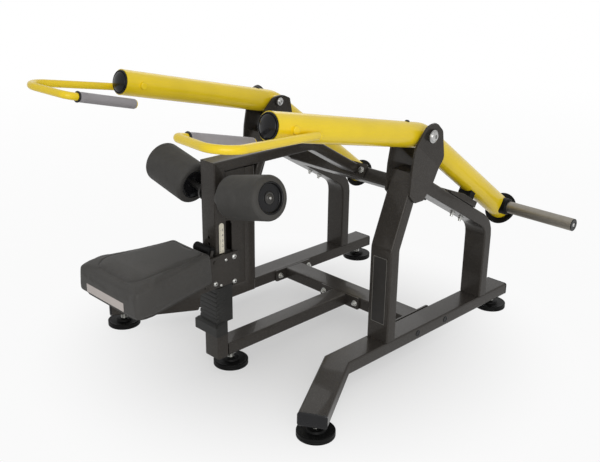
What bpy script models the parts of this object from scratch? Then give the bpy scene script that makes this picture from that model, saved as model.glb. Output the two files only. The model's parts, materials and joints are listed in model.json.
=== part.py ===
"""Plate-loaded seated triceps press.

Metres, +Z up. +X is the right hand of the person who sits on the machine, and +Y points from the
seat back to the weight horns. Pieces are laid out from the centre foot, on the floor at x = y = 0,
and the whole machine is moved at the end so that its origin is the middle of its footprint.
"""
import math

import bmesh
import bpy
from mathutils import Matrix, Vector

# Driving dimensions
GAP = 0.0003                 # air between pieces that touch
SIDES = (("right", 1), ("left", -1))

# Box tube stock
TUBE_WIDTH = 0.100           # runners, legs and the lower cross beam
TUBE_DEPTH = 0.050
TUBE_WALL = 0.003
TUBE_CORNER = 0.007
NARROW_WIDTH = 0.080         # spine, column and top beam
BEAM_DEPTH = 0.040
CROSS_TUBE_DEPTH = 0.054
PLATE = 0.008                # flanges, cheeks and carriage plates

# Feet
FOOT_RADIUS = 0.0675
FOOT_HEIGHT = 0.028
STUD_RADIUS = 0.0125
RUNNER_BASE = 0.060          # underside of the runners above the floor
FOOT_FROM_FRONT = 0.058      # front foot, back along the splayed run
FOOT_FROM_REAR = 0.043

# Runners
SIDE_X = 0.396               # middle plane of each side stand and press arm
RUNNER_BEND_Y = 0.168
RUNNER_REAR_Y = 1.205
RUNNER_SPLAY = 31.0          # degrees, outwards in front of the bend
RUNNER_FRONT_RUN = 0.380
CAP_THICKNESS = 0.009
CAP_PLUG = 0.020

# Side stands
FRONT_LEG_Y = 0.413
FRONT_LEG_BEND_Z = 0.477
FRONT_LEG_LEAN = 21.5
FRONT_LEG_TOP = 0.710
REAR_LEG_Y = 1.018
REAR_LEG_RADIUS = 0.095
DIAGONAL_ANGLE = 30.0        # rear leg diagonal, and the falling end of the top beam
DIAGONAL_BEND_Z = 0.434      # where the diagonal's centre line meets the vertical's
SADDLE_TOP = 0.752

# Lower frame
CROSS_BEAM_Y = 0.664
FLANGE_LENGTH = 0.220
SPINE_FLANGE_LENGTH = 0.220
FLANGE_LIP = 0.001
VENT_RADIUS = 0.012          # vent in each end flange, behind the runner's wall

# Column and top beam
POST_Y = -0.0665             # middle of the front post
POST_DEPTH = 0.050
BEAM_TOP = 0.818
REAR_POST_Y = 0.069
COLUMN_BASE = 0.292          # underside of the L-shaped rear post
COLUMN_PLATE = 0.004
SLOT_WIDTH = 0.026
SLOT_TOP = 0.597
BEAM_BEND_RADIUS = 0.100
CROSS_TUBE_Y = 0.668         # front top edge of the upper cross tube
BEAM_FLANGE_WIDTH = 0.160
STRUT_DEPTH = 0.030
STRUT_ANGLE = 64.5
STRUT_TOP_Y = 0.141

# Height scale and guide sleeve
SCALE_WIDTH = 0.022
SCALE_BASE = 0.483
SCALE_TOP = 0.596
SCALE_THICKNESS = 0.0015
SLEEVE_WALL = 0.012
SLEEVE_BASE = 0.170
SLEEVE_TOP = 0.355
SLEEVE_RIBS = 7
SLEEVE_RIB_DEPTH = 0.002
SLEEVE_FLANGE = 0.014        # how far the flange stands out past the sleeve
SLEEVE_FLANGE_TOP = 0.213
SLEEVE_BACK = 0.012          # thickness of its plain back, behind the post
SLEEVE_BACK_TOP = 0.357

# Arm pivots
PIVOT_Y = 0.555
PIVOT_Z = 0.885
CHEEK_FLARE = 0.18           # outward slope of a cheek above its crease
PIVOT_BOLT_RADIUS = 0.012
BUSH_RADIUS = 0.021          # sleeve welded through the arm, round the pivot bolt
BUSH_LENGTH = 0.114
BOSS_RADIUS = 0.020
BOSS_FACE = 0.078            # outer face of a cheek boss, from the arm's plane
PIVOT_HEAD_RADIUS = 0.018
PIVOT_HEAD_HEIGHT = 0.007

# Press arms
ARM_REST_TILT = {"right": 0.0, "left": 1.55}    # degrees the weight end hangs lower at rest
ARM_RADIUS = 0.0465
ARM_WALL = 0.003
ARM_FRONT_Y = -0.166
ARM_ELBOW_Y = 0.579
ARM_ELBOW_Z = 0.871
ARM_FRONT_RISE = 11.6        # degrees, rising forward of the elbow
ARM_REAR_FALL = 35.1         # degrees, falling behind the elbow
ARM_BEND_RADIUS = 0.150
ARM_REAR_Y = 1.168
ARM_DISC_RADIUS = 0.069
ARM_DISC_THICKNESS = 0.012
ARM_STUB_Y = -0.100
ARM_STUB_RADIUS = 0.0135
ARM_STUB_OUT = 0.006

# Handles, given for the right side from the arm's plane
HANDLE_RADIUS = 0.0135
HANDLE_WALL = 0.0025
HANDLE_WELD_Y = -0.044
HANDLE_WELD_BELOW = 16.5     # degrees round the arm, below its outer side
HANDLE_RUN_IN = 0.045         # how far the handle runs on into the arm, coped to it
HANDLE_CORNER_OUT = 0.164
HANDLE_CORNER_Y = -0.483
HANDLE_CORNER_Z = 1.032
HANDLE_CORNER_RADIUS = 0.070
HANDLE_FRONT_IN = 0.097
HANDLE_FRONT_Y = -0.441
HANDLE_FRONT_Z = 1.020
HANDLE_FRONT_RADIUS = 0.032
GRIP_END_IN = 0.077
GRIP_END_Y = -0.158
GRIP_END_Z = 0.955
GRIP_RADIUS = 0.018
GRIP_LENGTH = 0.243
GRIP_RING_RADIUS = 0.0215
GRIP_RING_LENGTH = 0.006

# Weight horns
HORN_RADIUS = 0.025
HORN_Y = 1.130
HORN_REACH = 0.757           # x of the horn's end
HORN_COLLAR_RADIUS = 0.034
HORN_COLLAR_OUT = 0.020

# Arm stops, measured along and square to the rear leg's diagonal
STOP_START_Y = 0.728
STOP_LENGTH = 0.200
STOP_RAMP = 0.090            # length of the bracket's rise
STOP_LOW = 0.010             # its height where it starts, and behind the rise
STOP_HEIGHT = 0.025
STOP_PAD_LENGTH = 0.036
STOP_PAD_HALF_WIDTH = 0.028

# Thigh rollers
PAD_RADIUS = 0.077
PAD_LENGTH = 0.205
PAD_START = 0.062            # inner end along the axle, from the post's side
PAD_TILT = 13.0
PAD_AXIS_Z = BEAM_TOP - 0.135    # where the axles meet the middle of the post
PAD_RECESS_RADIUS = 0.055
PAD_RECESS_DEPTH = 0.012
PAD_EDGE = 0.012
AXLE_RADIUS = 0.0125
AXLE_FLANGE_RADIUS = 0.030

# Seat carriage
CARRIAGE_HALF_GAP = 0.050    # inner face of a side plate
CARRIAGE_REAR_Y = 0.000
CARRIAGE_BASE = 0.362
CARRIAGE_TOP = 0.482
CARRIAGE_FRONT_Y = -0.145
SEAT_ARM_FRONT_Y = -0.440
SEAT_ARM_REAR_Y = -0.190
SEAT_ARM_BASE = 0.305
SEAT_ARM_FRONT_BASE = 0.364
SEAT_TRAY_TOP = 0.403
SEAT_TRAY_THICKNESS = 0.006
REAR_ROLLER_RADIUS = 0.0175
FRONT_ROLLER_RADIUS = 0.0195
REAR_ROLLER_HEIGHTS = (0.367, 0.463)
FRONT_ROLLER_HEIGHTS = (0.381, 0.462)
FRONT_ROLLER_HALF_WIDTH = 0.038
ROLLER_AXLE_RADIUS = 0.004
SEAT_TRAVEL = 0.115
KEEPER_LENGTH = 0.031        # block between the front rollers that guides the latch pin
LATCH_HOLES = 6
LATCH_Z = 0.4215
LATCH_RADIUS = 0.006
LATCH_SLOT_RISE = 0.0045      # room for the pin above and below, as the lever swings
LATCH_HEAD_RADIUS = 0.010
LEVER_PIVOT_Y = -0.152
LEVER_PIVOT_Z = 0.378
LEVER_GRIP_Y = -0.115
LEVER_GRIP_Z = 0.500
LEVER_HALF_WIDTH = 0.0475
LEVER_ARM = 0.004
LEVER_GRIP_RADIUS = 0.0175

# Cushion
BOARD_THICKNESS = 0.011
CUSHION_TOP = 0.527
CUSHION_BACK_RIM = 0.517     # height of the top's edge at the back and at the front
CUSHION_FRONT_RIM = 0.503
CUSHION_BACK_Y = -0.160
CUSHION_FRONT_Y = -0.522
CUSHION_BACK_HALF = 0.108
CUSHION_WIDE_HALF = 0.172
CUSHION_WIDE_Y = -0.450
CUSHION_CORNER = 0.036
CUSHION_PULL = 0.005         # how far the sides draw in below the crown

X_AXIS = Vector((1, 0, 0))
Y_AXIS = Vector((0, 1, 0))
Z_AXIS = Vector((0, 0, 1))


# Materials

def material(name, colour, roughness, metallic):
    made = bpy.data.materials.new(name)
    made.use_nodes = True
    shader = made.node_tree.nodes["Principled BSDF"]
    shader.inputs["Base Color"].default_value = (*colour, 1)
    shader.inputs["Roughness"].default_value = roughness
    shader.inputs["Metallic"].default_value = metallic
    made.diffuse_color = (*colour, 1)
    return made


def make_materials():
    return {
        "anthracite_paint": material("anthracite_paint", (0.045, 0.043, 0.041), 0.42, 0.35),
        "yellow_paint": material("yellow_paint", (0.80, 0.56, 0.03), 0.35, 0.0),
        "black_plastic": material("black_plastic", (0.012, 0.012, 0.012), 0.45, 0.0),
        "black_rubber": material("black_rubber", (0.010, 0.010, 0.010), 0.75, 0.0),
        "grey_rubber": material("grey_rubber", (0.35, 0.34, 0.36), 0.6, 0.0),
        "bare_steel": material("bare_steel", (0.42, 0.40, 0.36), 0.30, 1.0),
        "zinc": material("zinc", (0.60, 0.60, 0.58), 0.30, 1.0),
        "vinyl": material("vinyl", (0.050, 0.048, 0.046), 0.60, 0.0),
        "plywood": material("plywood", (0.30, 0.20, 0.11), 0.7, 0.0),
        "scale_cream": material("scale_cream", (0.66, 0.62, 0.50), 0.5, 0.0),
    }


# Shape helpers

def remove_everything():
    for leftover in list(bpy.data.objects):
        bpy.data.objects.remove(leftover, do_unlink=True)


def finish(name, shape, look, parent, sharp=38.0):
    """Turns a bmesh laid out in machine coordinates into a named object that hangs on parent."""
    bmesh.ops.recalc_face_normals(shape, faces=shape.faces)
    mesh = bpy.data.meshes.new(name)
    shape.to_mesh(mesh)
    shape.free()
    mesh.materials.append(look)
    mesh.shade_smooth()
    mesh.set_sharp_from_angle(angle=math.radians(sharp))
    made = bpy.data.objects.new(name, mesh)
    bpy.context.scene.collection.objects.link(made)
    made.parent = parent
    made.location = -place_of(parent)
    return made


def place_of(empty):
    """Where an empty stands in machine coordinates."""
    place = Vector()
    while empty:
        place += empty.location
        empty = empty.parent
    return place


def axis_empty(name, place, parent):
    """An empty on the axis of a joint, which carries the pieces that move with it."""
    empty = bpy.data.objects.new(name, None)
    bpy.context.scene.collection.objects.link(empty)
    empty.parent = parent
    empty.location = place - place_of(parent)
    return empty


def combine(target, tool, operation):
    """Cuts the target with the tool, or welds the tool to it. The tool itself is not a piece."""
    tool.name = target.name + "_" + tool.name
    tool.hide_render = True
    tool.display_type = "WIRE"
    step = target.modifiers.new(operation.lower(), "BOOLEAN")
    step.operation = operation
    step.solver = "EXACT"
    step.object = tool


def cut(target, tool):
    combine(target, tool, "DIFFERENCE")


def weld(target, tool):
    combine(target, tool, "UNION")


def settle(made, sharp=38.0):
    """Applies the Booleans, removes their tools, and shades the result's round faces smooth."""
    tools = [step.object for step in made.modifiers]
    graph = bpy.context.evaluated_depsgraph_get()
    mesh = bpy.data.meshes.new_from_object(made.evaluated_get(graph), depsgraph=graph)
    made.modifiers.clear()
    made.data = mesh
    mesh.shade_smooth()
    mesh.set_sharp_from_angle(angle=math.radians(sharp))
    for tool in tools:
        bpy.data.objects.remove(tool, do_unlink=True)


def skin(shape, rings):
    """Faces between neighbouring rings of points. A ring of one point is a tip."""
    for low, high in zip(rings, rings[1:]):
        count = max(len(low), len(high))
        for i in range(count):
            j = (i + 1) % count
            if len(low) == 1:
                shape.faces.new((low[0], high[j], high[i]))
            elif len(high) == 1:
                shape.faces.new((low[i], low[j], high[0]))
            else:
                shape.faces.new((low[i], low[j], high[j], high[i]))


def add_rings(shape, sections):
    return [[shape.verts.new(point) for point in section] for section in sections]


def add_solid(shape, sections):
    """A closed body through sections of equal point count, capped at both ends."""
    rings = add_rings(shape, sections)
    skin(shape, rings)
    for end in (rings[0], rings[-1]):
        if len(end) > 2:
            shape.faces.new(end)


def add_tube(shape, outer, inner, blind=False):
    """A tube through outer and inner sections. A blind tube is closed at its last section."""
    outside = add_rings(shape, outer)
    inside = add_rings(shape, inner)
    skin(shape, outside)
    skin(shape, inside)
    skin(shape, [outside[0], inside[0]])
    if blind:
        shape.faces.new(outside[-1])
        shape.faces.new(inside[-1])
    else:
        skin(shape, [outside[-1], inside[-1]])


def rounded_rectangle(width, depth, radius, steps=2):
    points = []
    for corner in range(4):
        start = math.radians(90 * corner)
        sign_a = (1, -1, -1, 1)[corner]
        sign_b = (1, 1, -1, -1)[corner]
        for step in range(steps + 1):
            angle = start + math.radians(90) * step / steps
            a = sign_a * (width / 2 - radius) + radius * math.cos(angle)
            b = sign_b * (depth / 2 - radius) + radius * math.sin(angle)
            points.append((a, b))
    return points


def circle(radius, count):
    return [(radius * math.cos(math.tau * i / count), radius * math.sin(math.tau * i / count))
            for i in range(count)]


def rounded_path(corners, radii, steps):
    """Points along straight runs whose inner corners are rounded to the given radii."""
    path = [corners[0]]
    for before, corner, after, radius in zip(corners, corners[1:], corners[2:], radii):
        arriving = (corner - before).normalized()
        leaving = (after - corner).normalized()
        turn = arriving.angle(leaving)
        if radius == 0:
            path.append(corner)
            continue
        start = corner - arriving * radius * math.tan(turn / 2)
        centre = corner + (leaving - arriving).normalized() * radius / math.cos(turn / 2)
        spin = arriving.rotation_difference(leaving)
        for step in range(steps + 1):
            part = spin.copy()
            part.identity()
            part = part.slerp(spin, step / steps)
            path.append(centre + part @ (start - centre))
    path.append(corners[-1])
    return path


def swept(path, profile, side, start_cut=None, end_cut=None):
    """Sections of a flat profile carried along a path and mitred at its corners. side is the
    profile's first direction at the start, and the cuts are the normals of slanted ends."""
    sections = []
    last = len(path) - 1
    for i, point in enumerate(path):
        arriving = (path[i] - path[i - 1] if i else path[1] - path[0]).normalized()
        leaving = (path[i + 1] - path[i] if i < last else path[i] - path[i - 1]).normalized()
        plane = (arriving + leaving).normalized()
        if i == 0 and start_cut:
            plane = start_cut
        if i == last and end_cut:
            plane = end_cut
        up = arriving.cross(side).normalized()
        section = []
        for a, b in profile:
            offset = side * a + up * b
            offset -= arriving * (offset.dot(plane) / arriving.dot(plane))
            section.append(point + offset)
        sections.append(section)
        side = arriving.rotation_difference(leaving) @ side
    return sections


def box_tube(shape, path, width, depth, side, start_cut=None, end_cut=None):
    """Box tube open at both ends, its width along side."""
    outer = rounded_rectangle(width, depth, TUBE_CORNER)
    inner = rounded_rectangle(width - 2 * TUBE_WALL, depth - 2 * TUBE_WALL,
                              TUBE_CORNER - TUBE_WALL)
    add_tube(shape, swept(path, outer, side, start_cut, end_cut),
             swept(path, inner, side, start_cut, end_cut))


def add_turned(shape, origin, axis, profile, count):
    """Turns (radius, distance along the axis) points. A profile that starts and ends on the axis is
    a solid, and any other closes on itself as a ring."""
    axis = axis.normalized()
    across = axis.orthogonal().normalized()
    around = axis.cross(across)
    sections = []
    for radius, along in profile:
        middle = origin + axis * along
        if radius == 0:
            sections.append([middle])
            continue
        sections.append([middle + across * a + around * b for a, b in circle(radius, count)])
    rings = add_rings(shape, sections)
    if profile[0][0] > 0:
        rings.append(rings[0])
    skin(shape, rings)


def add_rod(shape, start, end, radius, count=12):
    length = (end - start).length
    profile = [(0, 0), (radius, 0), (radius, length), (0, length)]
    add_turned(shape, start, end - start, profile, count)


def add_slab(shape, outline, place, low, high):
    """A plate: outline points (a, b) at two depths, where place(a, b, depth) gives the point."""
    add_solid(shape, [[place(a, b, depth) for a, b in outline] for depth in (low, high)])


def on_side(y, z, x):
    return Vector((x, y, z))


def on_floor(x, y, z):
    return Vector((x, y, z))


def on_front(x, z, y):
    return Vector((x, y, z))


def rounded_outline(corners, radii, steps=3):
    """A closed flat outline whose corners are rounded, as (a, b) points."""
    points = []
    count = len(corners)
    for i, corner in enumerate(corners):
        here = Vector((*corner, 0))
        if radii[i] == 0:
            points.append(tuple(here[:2]))
            continue
        before = Vector((*corners[i - 1], 0))
        after = Vector((*corners[(i + 1) % count], 0))
        arc = rounded_path([before, here, after], [radii[i]], steps)[1:-1]
        points += [tuple(point[:2]) for point in arc]
    return points


def new_tool(name, shape, parent):
    """A cutter or a welded-on shape, which the build leaves out as an object."""
    return finish(name, shape, bpy.data.materials["anthracite_paint"], parent)


def rods_tool(name, rods, parent, count=12):
    """One cutter for several round holes, given as (start, end, radius)."""
    shape = bmesh.new()
    for start, end, radius in rods:
        add_rod(shape, start, end, radius, count)
    return new_tool(name, shape, parent)


def hole_for(radius, count=12):
    """Radius of a faceted hole that a round rod passes with the usual gap."""
    return (radius + GAP) / math.cos(math.pi / count)


# Lines that several pieces share

LEAN = math.tan(math.radians(FRONT_LEG_LEAN))
SLOPE = math.tan(math.radians(DIAGONAL_ANGLE))
SLOPE_ALONG = Vector((0, math.cos(math.radians(DIAGONAL_ANGLE)),
                      -math.sin(math.radians(DIAGONAL_ANGLE))))
SLOPE_UP = Vector((0, math.sin(math.radians(DIAGONAL_ANGLE)),
                   math.cos(math.radians(DIAGONAL_ANGLE))))
RUNNER_MIDDLE = RUNNER_BASE + TUBE_DEPTH / 2
RUNNER_TOP = RUNNER_BASE + TUBE_DEPTH


def diagonal_centre(y):
    """Centre line of the rear legs' diagonals in side view."""
    return DIAGONAL_BEND_Z - SLOPE * (y - REAR_LEG_Y)


def diagonal_point(y, height):
    """A point in side view, at a height square to the diagonal's top face above that face's
    point at y."""
    half = TUBE_DEPTH / 2 / math.cos(math.radians(DIAGONAL_ANGLE))
    on_top = Vector((0, y, diagonal_centre(y) + half))
    return on_top + SLOPE_UP * height


def leg_face(z, behind=0.0):
    """y of the front leg's leaning front face at height z, or of a line that far behind it."""
    lean = math.radians(FRONT_LEG_LEAN)
    start = FRONT_LEG_Y - TUBE_DEPTH / 2 / math.cos(lean)
    return start + behind / math.cos(lean) + LEAN * (z - FRONT_LEG_BEND_Z)


def arm_centre(y):
    """Height of the press arm's centre line in side view."""
    if y < ARM_ELBOW_Y:
        return ARM_ELBOW_Z + math.tan(math.radians(ARM_FRONT_RISE)) * (ARM_ELBOW_Y - y)
    return ARM_ELBOW_Z - math.tan(math.radians(ARM_REAR_FALL)) * (y - ARM_ELBOW_Y)


ARM_FORWARD = Vector((0, -math.cos(math.radians(ARM_FRONT_RISE)),
                      math.sin(math.radians(ARM_FRONT_RISE))))
ARM_REARWARD = Vector((0, math.cos(math.radians(ARM_REAR_FALL)),
                       -math.sin(math.radians(ARM_REAR_FALL))))


def arm_point(y, sign):
    return Vector((sign * SIDE_X, y, arm_centre(y)))


# Runners, their end caps and the feet

def runner_corners(sign):
    splay = math.radians(RUNNER_SPLAY)
    rear = Vector((sign * SIDE_X, RUNNER_REAR_Y - CAP_THICKNESS, RUNNER_MIDDLE))
    bend = Vector((sign * SIDE_X, RUNNER_BEND_Y, RUNNER_MIDDLE))
    forward = Vector((sign * math.sin(splay), -math.cos(splay), 0))
    front = bend + forward * (RUNNER_FRONT_RUN - CAP_THICKNESS)
    return rear, bend, front, forward


def make_runners(looks, frame):
    for side, sign in SIDES:
        rear, bend, front, forward = runner_corners(sign)
        shape = bmesh.new()
        box_tube(shape, [rear, bend, front], TUBE_DEPTH, TUBE_WIDTH, Z_AXIS)
        finish(side + "_runner", shape, looks["anthracite_paint"], frame)


def add_end_cap(shape, end, outward):
    """A plastic cap with a plug that sits in the tube's mouth."""
    plug = rounded_rectangle(TUBE_DEPTH - 2 * TUBE_WALL - 2 * GAP,
                             TUBE_WIDTH - 2 * TUBE_WALL - 2 * GAP, TUBE_CORNER - TUBE_WALL)
    face = rounded_rectangle(TUBE_DEPTH, TUBE_WIDTH, TUBE_CORNER)
    round_over = CAP_THICKNESS / 3
    crown = rounded_rectangle(TUBE_DEPTH - 2 * round_over, TUBE_WIDTH - 2 * round_over,
                              TUBE_CORNER)
    places = [end - outward * CAP_PLUG, end + outward * GAP, end + outward * GAP,
              end + outward * (CAP_THICKNESS - round_over), end + outward * CAP_THICKNESS]
    across = outward.cross(Z_AXIS)
    sections = [[place + Z_AXIS * a + across * b for a, b in profile]
                for place, profile in zip(places, (plug, plug, face, face, crown))]
    add_solid(shape, sections)


def make_end_caps(looks, frame):
    for side, sign in SIDES:
        rear, bend, front, forward = runner_corners(sign)
        for place, end, outward in (("rear", rear, Y_AXIS), ("front", front, forward)):
            shape = bmesh.new()
            add_end_cap(shape, end, outward)
            finish(side + "_" + place + "_cap", shape, looks["black_plastic"], frame)


def foot_places():
    places = {"centre": Vector((0, 0, 0))}
    for side, sign in SIDES:
        rear, bend, front, forward = runner_corners(sign)
        front_end = bend + forward * RUNNER_FRONT_RUN
        front_foot = front_end - forward * FOOT_FROM_FRONT
        places[side + "_front"] = Vector((front_foot.x, front_foot.y, 0))
        places[side + "_rear"] = Vector((sign * SIDE_X, RUNNER_REAR_Y - FOOT_FROM_REAR, 0))
    return places


def make_feet(looks, frame):
    """Rubber discs, each moulded round the flange of its stud."""
    rim = FOOT_HEIGHT * 0.7
    top = RUNNER_BASE - GAP
    profile = [(0, 0), (FOOT_RADIUS, 0), (FOOT_RADIUS, rim),
               (FOOT_RADIUS * 0.9, FOOT_HEIGHT * 0.86), (STUD_RADIUS * 1.7, FOOT_HEIGHT),
               (STUD_RADIUS, FOOT_HEIGHT + 0.006), (STUD_RADIUS, top), (0, top)]
    for name, place in foot_places().items():
        shape = bmesh.new()
        add_turned(shape, place, Z_AXIS, profile, 20)
        finish(name + "_foot", shape, looks["black_rubber"], frame)


# Side stands

def make_front_legs(looks, frame):
    for side, sign in SIDES:
        x = sign * SIDE_X
        top_y = FRONT_LEG_Y + LEAN * (FRONT_LEG_TOP - FRONT_LEG_BEND_Z)
        corners = [Vector((x, FRONT_LEG_Y, RUNNER_TOP + GAP)),
                   Vector((x, FRONT_LEG_Y, FRONT_LEG_BEND_Z)),
                   Vector((x, top_y, FRONT_LEG_TOP))]
        path = rounded_path(corners, [TUBE_DEPTH], 2)
        shape = bmesh.new()
        box_tube(shape, path, TUBE_WIDTH, TUBE_DEPTH, X_AXIS, end_cut=Z_AXIS)
        finish(side + "_front_leg", shape, looks["anthracite_paint"], frame)


def make_rear_legs(looks, frame):
    """One bent tube each side: vertical, then a diagonal that butts on the front leg's back."""
    lean = math.radians(FRONT_LEG_LEAN)
    back_normal = Vector((0, math.cos(lean), -math.sin(lean)))
    start = leg_face(FRONT_LEG_BEND_Z, TUBE_DEPTH + GAP)
    meet_y = ((start - LEAN * (FRONT_LEG_BEND_Z - DIAGONAL_BEND_Z) + LEAN * SLOPE * REAR_LEG_Y)
              / (1 + LEAN * SLOPE))
    for side, sign in SIDES:
        x = sign * SIDE_X
        corners = [Vector((x, REAR_LEG_Y, RUNNER_TOP + GAP)),
                   Vector((x, REAR_LEG_Y, DIAGONAL_BEND_Z)),
                   Vector((x, meet_y, diagonal_centre(meet_y)))]
        path = rounded_path(corners, [REAR_LEG_RADIUS], 4)
        shape = bmesh.new()
        box_tube(shape, path, TUBE_WIDTH, TUBE_DEPTH, X_AXIS, end_cut=-back_normal)
        finish(side + "_rear_leg", shape, looks["anthracite_paint"], frame)


def saddle_outline():
    """Web between the cheeks, seated on the front leg's level top and on the diagonal."""
    base = FRONT_LEG_TOP + GAP
    clear = GAP / math.cos(math.radians(DIAGONAL_ANGLE))
    leg_back = leg_face(base, TUBE_DEPTH)
    top = diagonal_point(0, 0).z + clear
    ridge_y = (leg_back + LEAN * (top - base)) / (1 + LEAN * SLOPE)
    rear_y = ridge_y + TUBE_DEPTH
    return [(leg_face(base), base), (leg_back, base), (ridge_y, top - SLOPE * ridge_y),
            (rear_y, top - SLOPE * rear_y), (rear_y, SADDLE_TOP - TUBE_DEPTH / 3),
            (rear_y - TUBE_DEPTH / 3, SADDLE_TOP), (leg_face(SADDLE_TOP), SADDLE_TOP)]


# Lower frame

def flange_outline(middle, length):
    """A plate across a tube's end, a little taller than the tube."""
    low = RUNNER_BASE - FLANGE_LIP
    high = RUNNER_TOP + FLANGE_LIP
    start = middle - length / 2
    end = middle + length / 2
    return rounded_outline([(start, low), (end, low), (end, high), (start, high)],
                           [TUBE_CORNER] * 4, 2)


def make_lower_frame(looks, frame):
    inner = SIDE_X - TUBE_WIDTH / 2 - GAP
    shape = bmesh.new()
    left_end = Vector((-(inner - PLATE / 2), CROSS_BEAM_Y, RUNNER_MIDDLE))
    right_end = Vector((inner - PLATE / 2, CROSS_BEAM_Y, RUNNER_MIDDLE))
    box_tube(shape, [left_end, right_end], TUBE_DEPTH, TUBE_WIDTH, Z_AXIS)
    beam = finish("lower_cross_beam", shape, looks["anthracite_paint"], frame)

    flanges = bmesh.new()
    outline = flange_outline(CROSS_BEAM_Y, FLANGE_LENGTH)
    for _, sign in SIDES:
        add_slab(flanges, outline, on_side, sign * (inner - PLATE), sign * inner)
    weld(beam, new_tool("end_flanges", flanges, frame))
    vents = []
    for _, sign in SIDES:
        centre = Vector((sign * inner, CROSS_BEAM_Y, RUNNER_MIDDLE))
        vents.append((centre - X_AXIS * 2 * PLATE, centre + X_AXIS * 2 * PLATE, VENT_RADIUS))
    cut(beam, rods_tool("vents", vents, frame))
    settle(beam)

    beam_front = CROSS_BEAM_Y - TUBE_WIDTH / 2 - GAP
    shape = bmesh.new()
    start = Vector((0, POST_Y + POST_DEPTH / 2 + GAP, RUNNER_MIDDLE))
    end = Vector((0, beam_front - PLATE / 2, RUNNER_MIDDLE))
    box_tube(shape, [start, end], TUBE_DEPTH, NARROW_WIDTH, Z_AXIS)
    spine = finish("lower_spine", shape, looks["anthracite_paint"], frame)
    flange = bmesh.new()
    outline = flange_outline(0, SPINE_FLANGE_LENGTH)
    add_slab(flange, outline, on_front, beam_front - PLATE, beam_front)
    weld(spine, new_tool("rear_flange", flange, frame))
    settle(spine)


# Column: front post, and the L-shaped rear post with its side plates

def post_beam_mitre():
    """Cut plane between the front post and the level part of the top beam."""
    return Vector((0, BEAM_DEPTH, POST_DEPTH)).normalized()


def make_front_post(looks, frame):
    mitre = post_beam_mitre()
    corner = Vector((0, POST_Y, BEAM_TOP - BEAM_DEPTH / 2)) - mitre * GAP / 2
    shape = bmesh.new()
    box_tube(shape, [Vector((0, POST_Y, RUNNER_BASE)), corner], NARROW_WIDTH, POST_DEPTH, X_AXIS,
             end_cut=mitre)
    post = finish("front_post", shape, looks["anthracite_paint"], frame)
    front = POST_Y - POST_DEPTH / 2
    pitch = SEAT_TRAVEL / (LATCH_HOLES - 1)
    holes = []
    for i in range(LATCH_HOLES):
        z = LATCH_Z + pitch * i
        holes.append((Vector((0, front - TUBE_WALL, z)), Vector((0, POST_Y, z)),
                      hole_for(LATCH_RADIUS)))
    cut(post, rods_tool("latch_holes", holes, frame))
    settle(post)


def make_rear_post(looks, frame):
    middle = COLUMN_BASE + TUBE_DEPTH / 2
    corners = [Vector((0, POST_Y + POST_DEPTH / 2 + GAP, middle)),
               Vector((0, REAR_POST_Y, middle)),
               Vector((0, REAR_POST_Y, BEAM_TOP - BEAM_DEPTH - GAP))]
    shape = bmesh.new()
    box_tube(shape, corners, NARROW_WIDTH, TUBE_DEPTH, X_AXIS)
    post = finish("rear_post", shape, looks["anthracite_paint"], frame)

    front = POST_Y + POST_DEPTH / 2 + GAP
    rear = REAR_POST_Y - TUBE_DEPTH / 2 + TUBE_WALL / 2
    base = COLUMN_BASE + TUBE_DEPTH - TUBE_WALL / 2
    top = BEAM_TOP - BEAM_DEPTH - GAP
    slot_rear = front + SLOT_WIDTH
    shoulder = SLOT_TOP - SLOT_WIDTH * 0.6
    outline = [(front, top), (front, SLOT_TOP), (front + SLOT_WIDTH * 0.5, SLOT_TOP),
               (front + SLOT_WIDTH * 0.86, SLOT_TOP - SLOT_WIDTH * 0.2), (slot_rear, shoulder),
               (slot_rear, base), (rear, base), (rear, top)]
    outer = NARROW_WIDTH / 2 - TUBE_WALL
    plates = bmesh.new()
    for _, sign in SIDES:
        add_slab(plates, outline, on_side, sign * (outer - COLUMN_PLATE), sign * outer)
    weld(post, new_tool("side_plates", plates, frame))
    settle(post)


# Top beam, strut and upper cross tube

def cross_tube_front():
    """Front top edge of the upper cross tube in side view."""
    return diagonal_point(CROSS_TUBE_Y, 0)


def make_top_beam(looks, frame):
    mitre = post_beam_mitre()
    level = BEAM_TOP - BEAM_DEPTH / 2
    start = Vector((0, POST_Y, level)) + mitre * GAP / 2
    flange_face = cross_tube_front() - SLOPE_ALONG * GAP
    end = flange_face - SLOPE_UP * BEAM_DEPTH / 2 - SLOPE_ALONG * PLATE / 2
    corner_y = end.y - (level - end.z) / SLOPE
    path = rounded_path([start, Vector((0, corner_y, level)), end], [BEAM_BEND_RADIUS], 3)
    shape = bmesh.new()
    box_tube(shape, path, NARROW_WIDTH, BEAM_DEPTH, X_AXIS, start_cut=mitre)
    beam = finish("top_beam", shape, looks["anthracite_paint"], frame)

    centre = flange_face - SLOPE_UP * BEAM_DEPTH / 2
    profile = rounded_rectangle(BEAM_FLANGE_WIDTH, BEAM_DEPTH * 1.4, TUBE_CORNER)
    flange = bmesh.new()
    add_solid(flange, swept([centre - SLOPE_ALONG * PLATE, centre], profile, X_AXIS))
    weld(beam, new_tool("cross_flange", flange, frame))
    settle(beam)


def make_strut(looks, frame):
    """Short tube from the rear post's back up to the beam, cut to both."""
    angle = math.radians(STRUT_ANGLE)
    along = Vector((0, math.cos(angle), math.sin(angle)))
    top = Vector((0, STRUT_TOP_Y, BEAM_TOP - BEAM_DEPTH - GAP))
    back = REAR_POST_Y + TUBE_DEPTH / 2 + GAP
    bottom = top - along * (top.y - back) / along.y
    shape = bmesh.new()
    box_tube(shape, [bottom, top], TUBE_DEPTH, STRUT_DEPTH, X_AXIS, start_cut=Y_AXIS,
             end_cut=Z_AXIS)
    finish("beam_strut", shape, looks["anthracite_paint"], frame)


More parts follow.
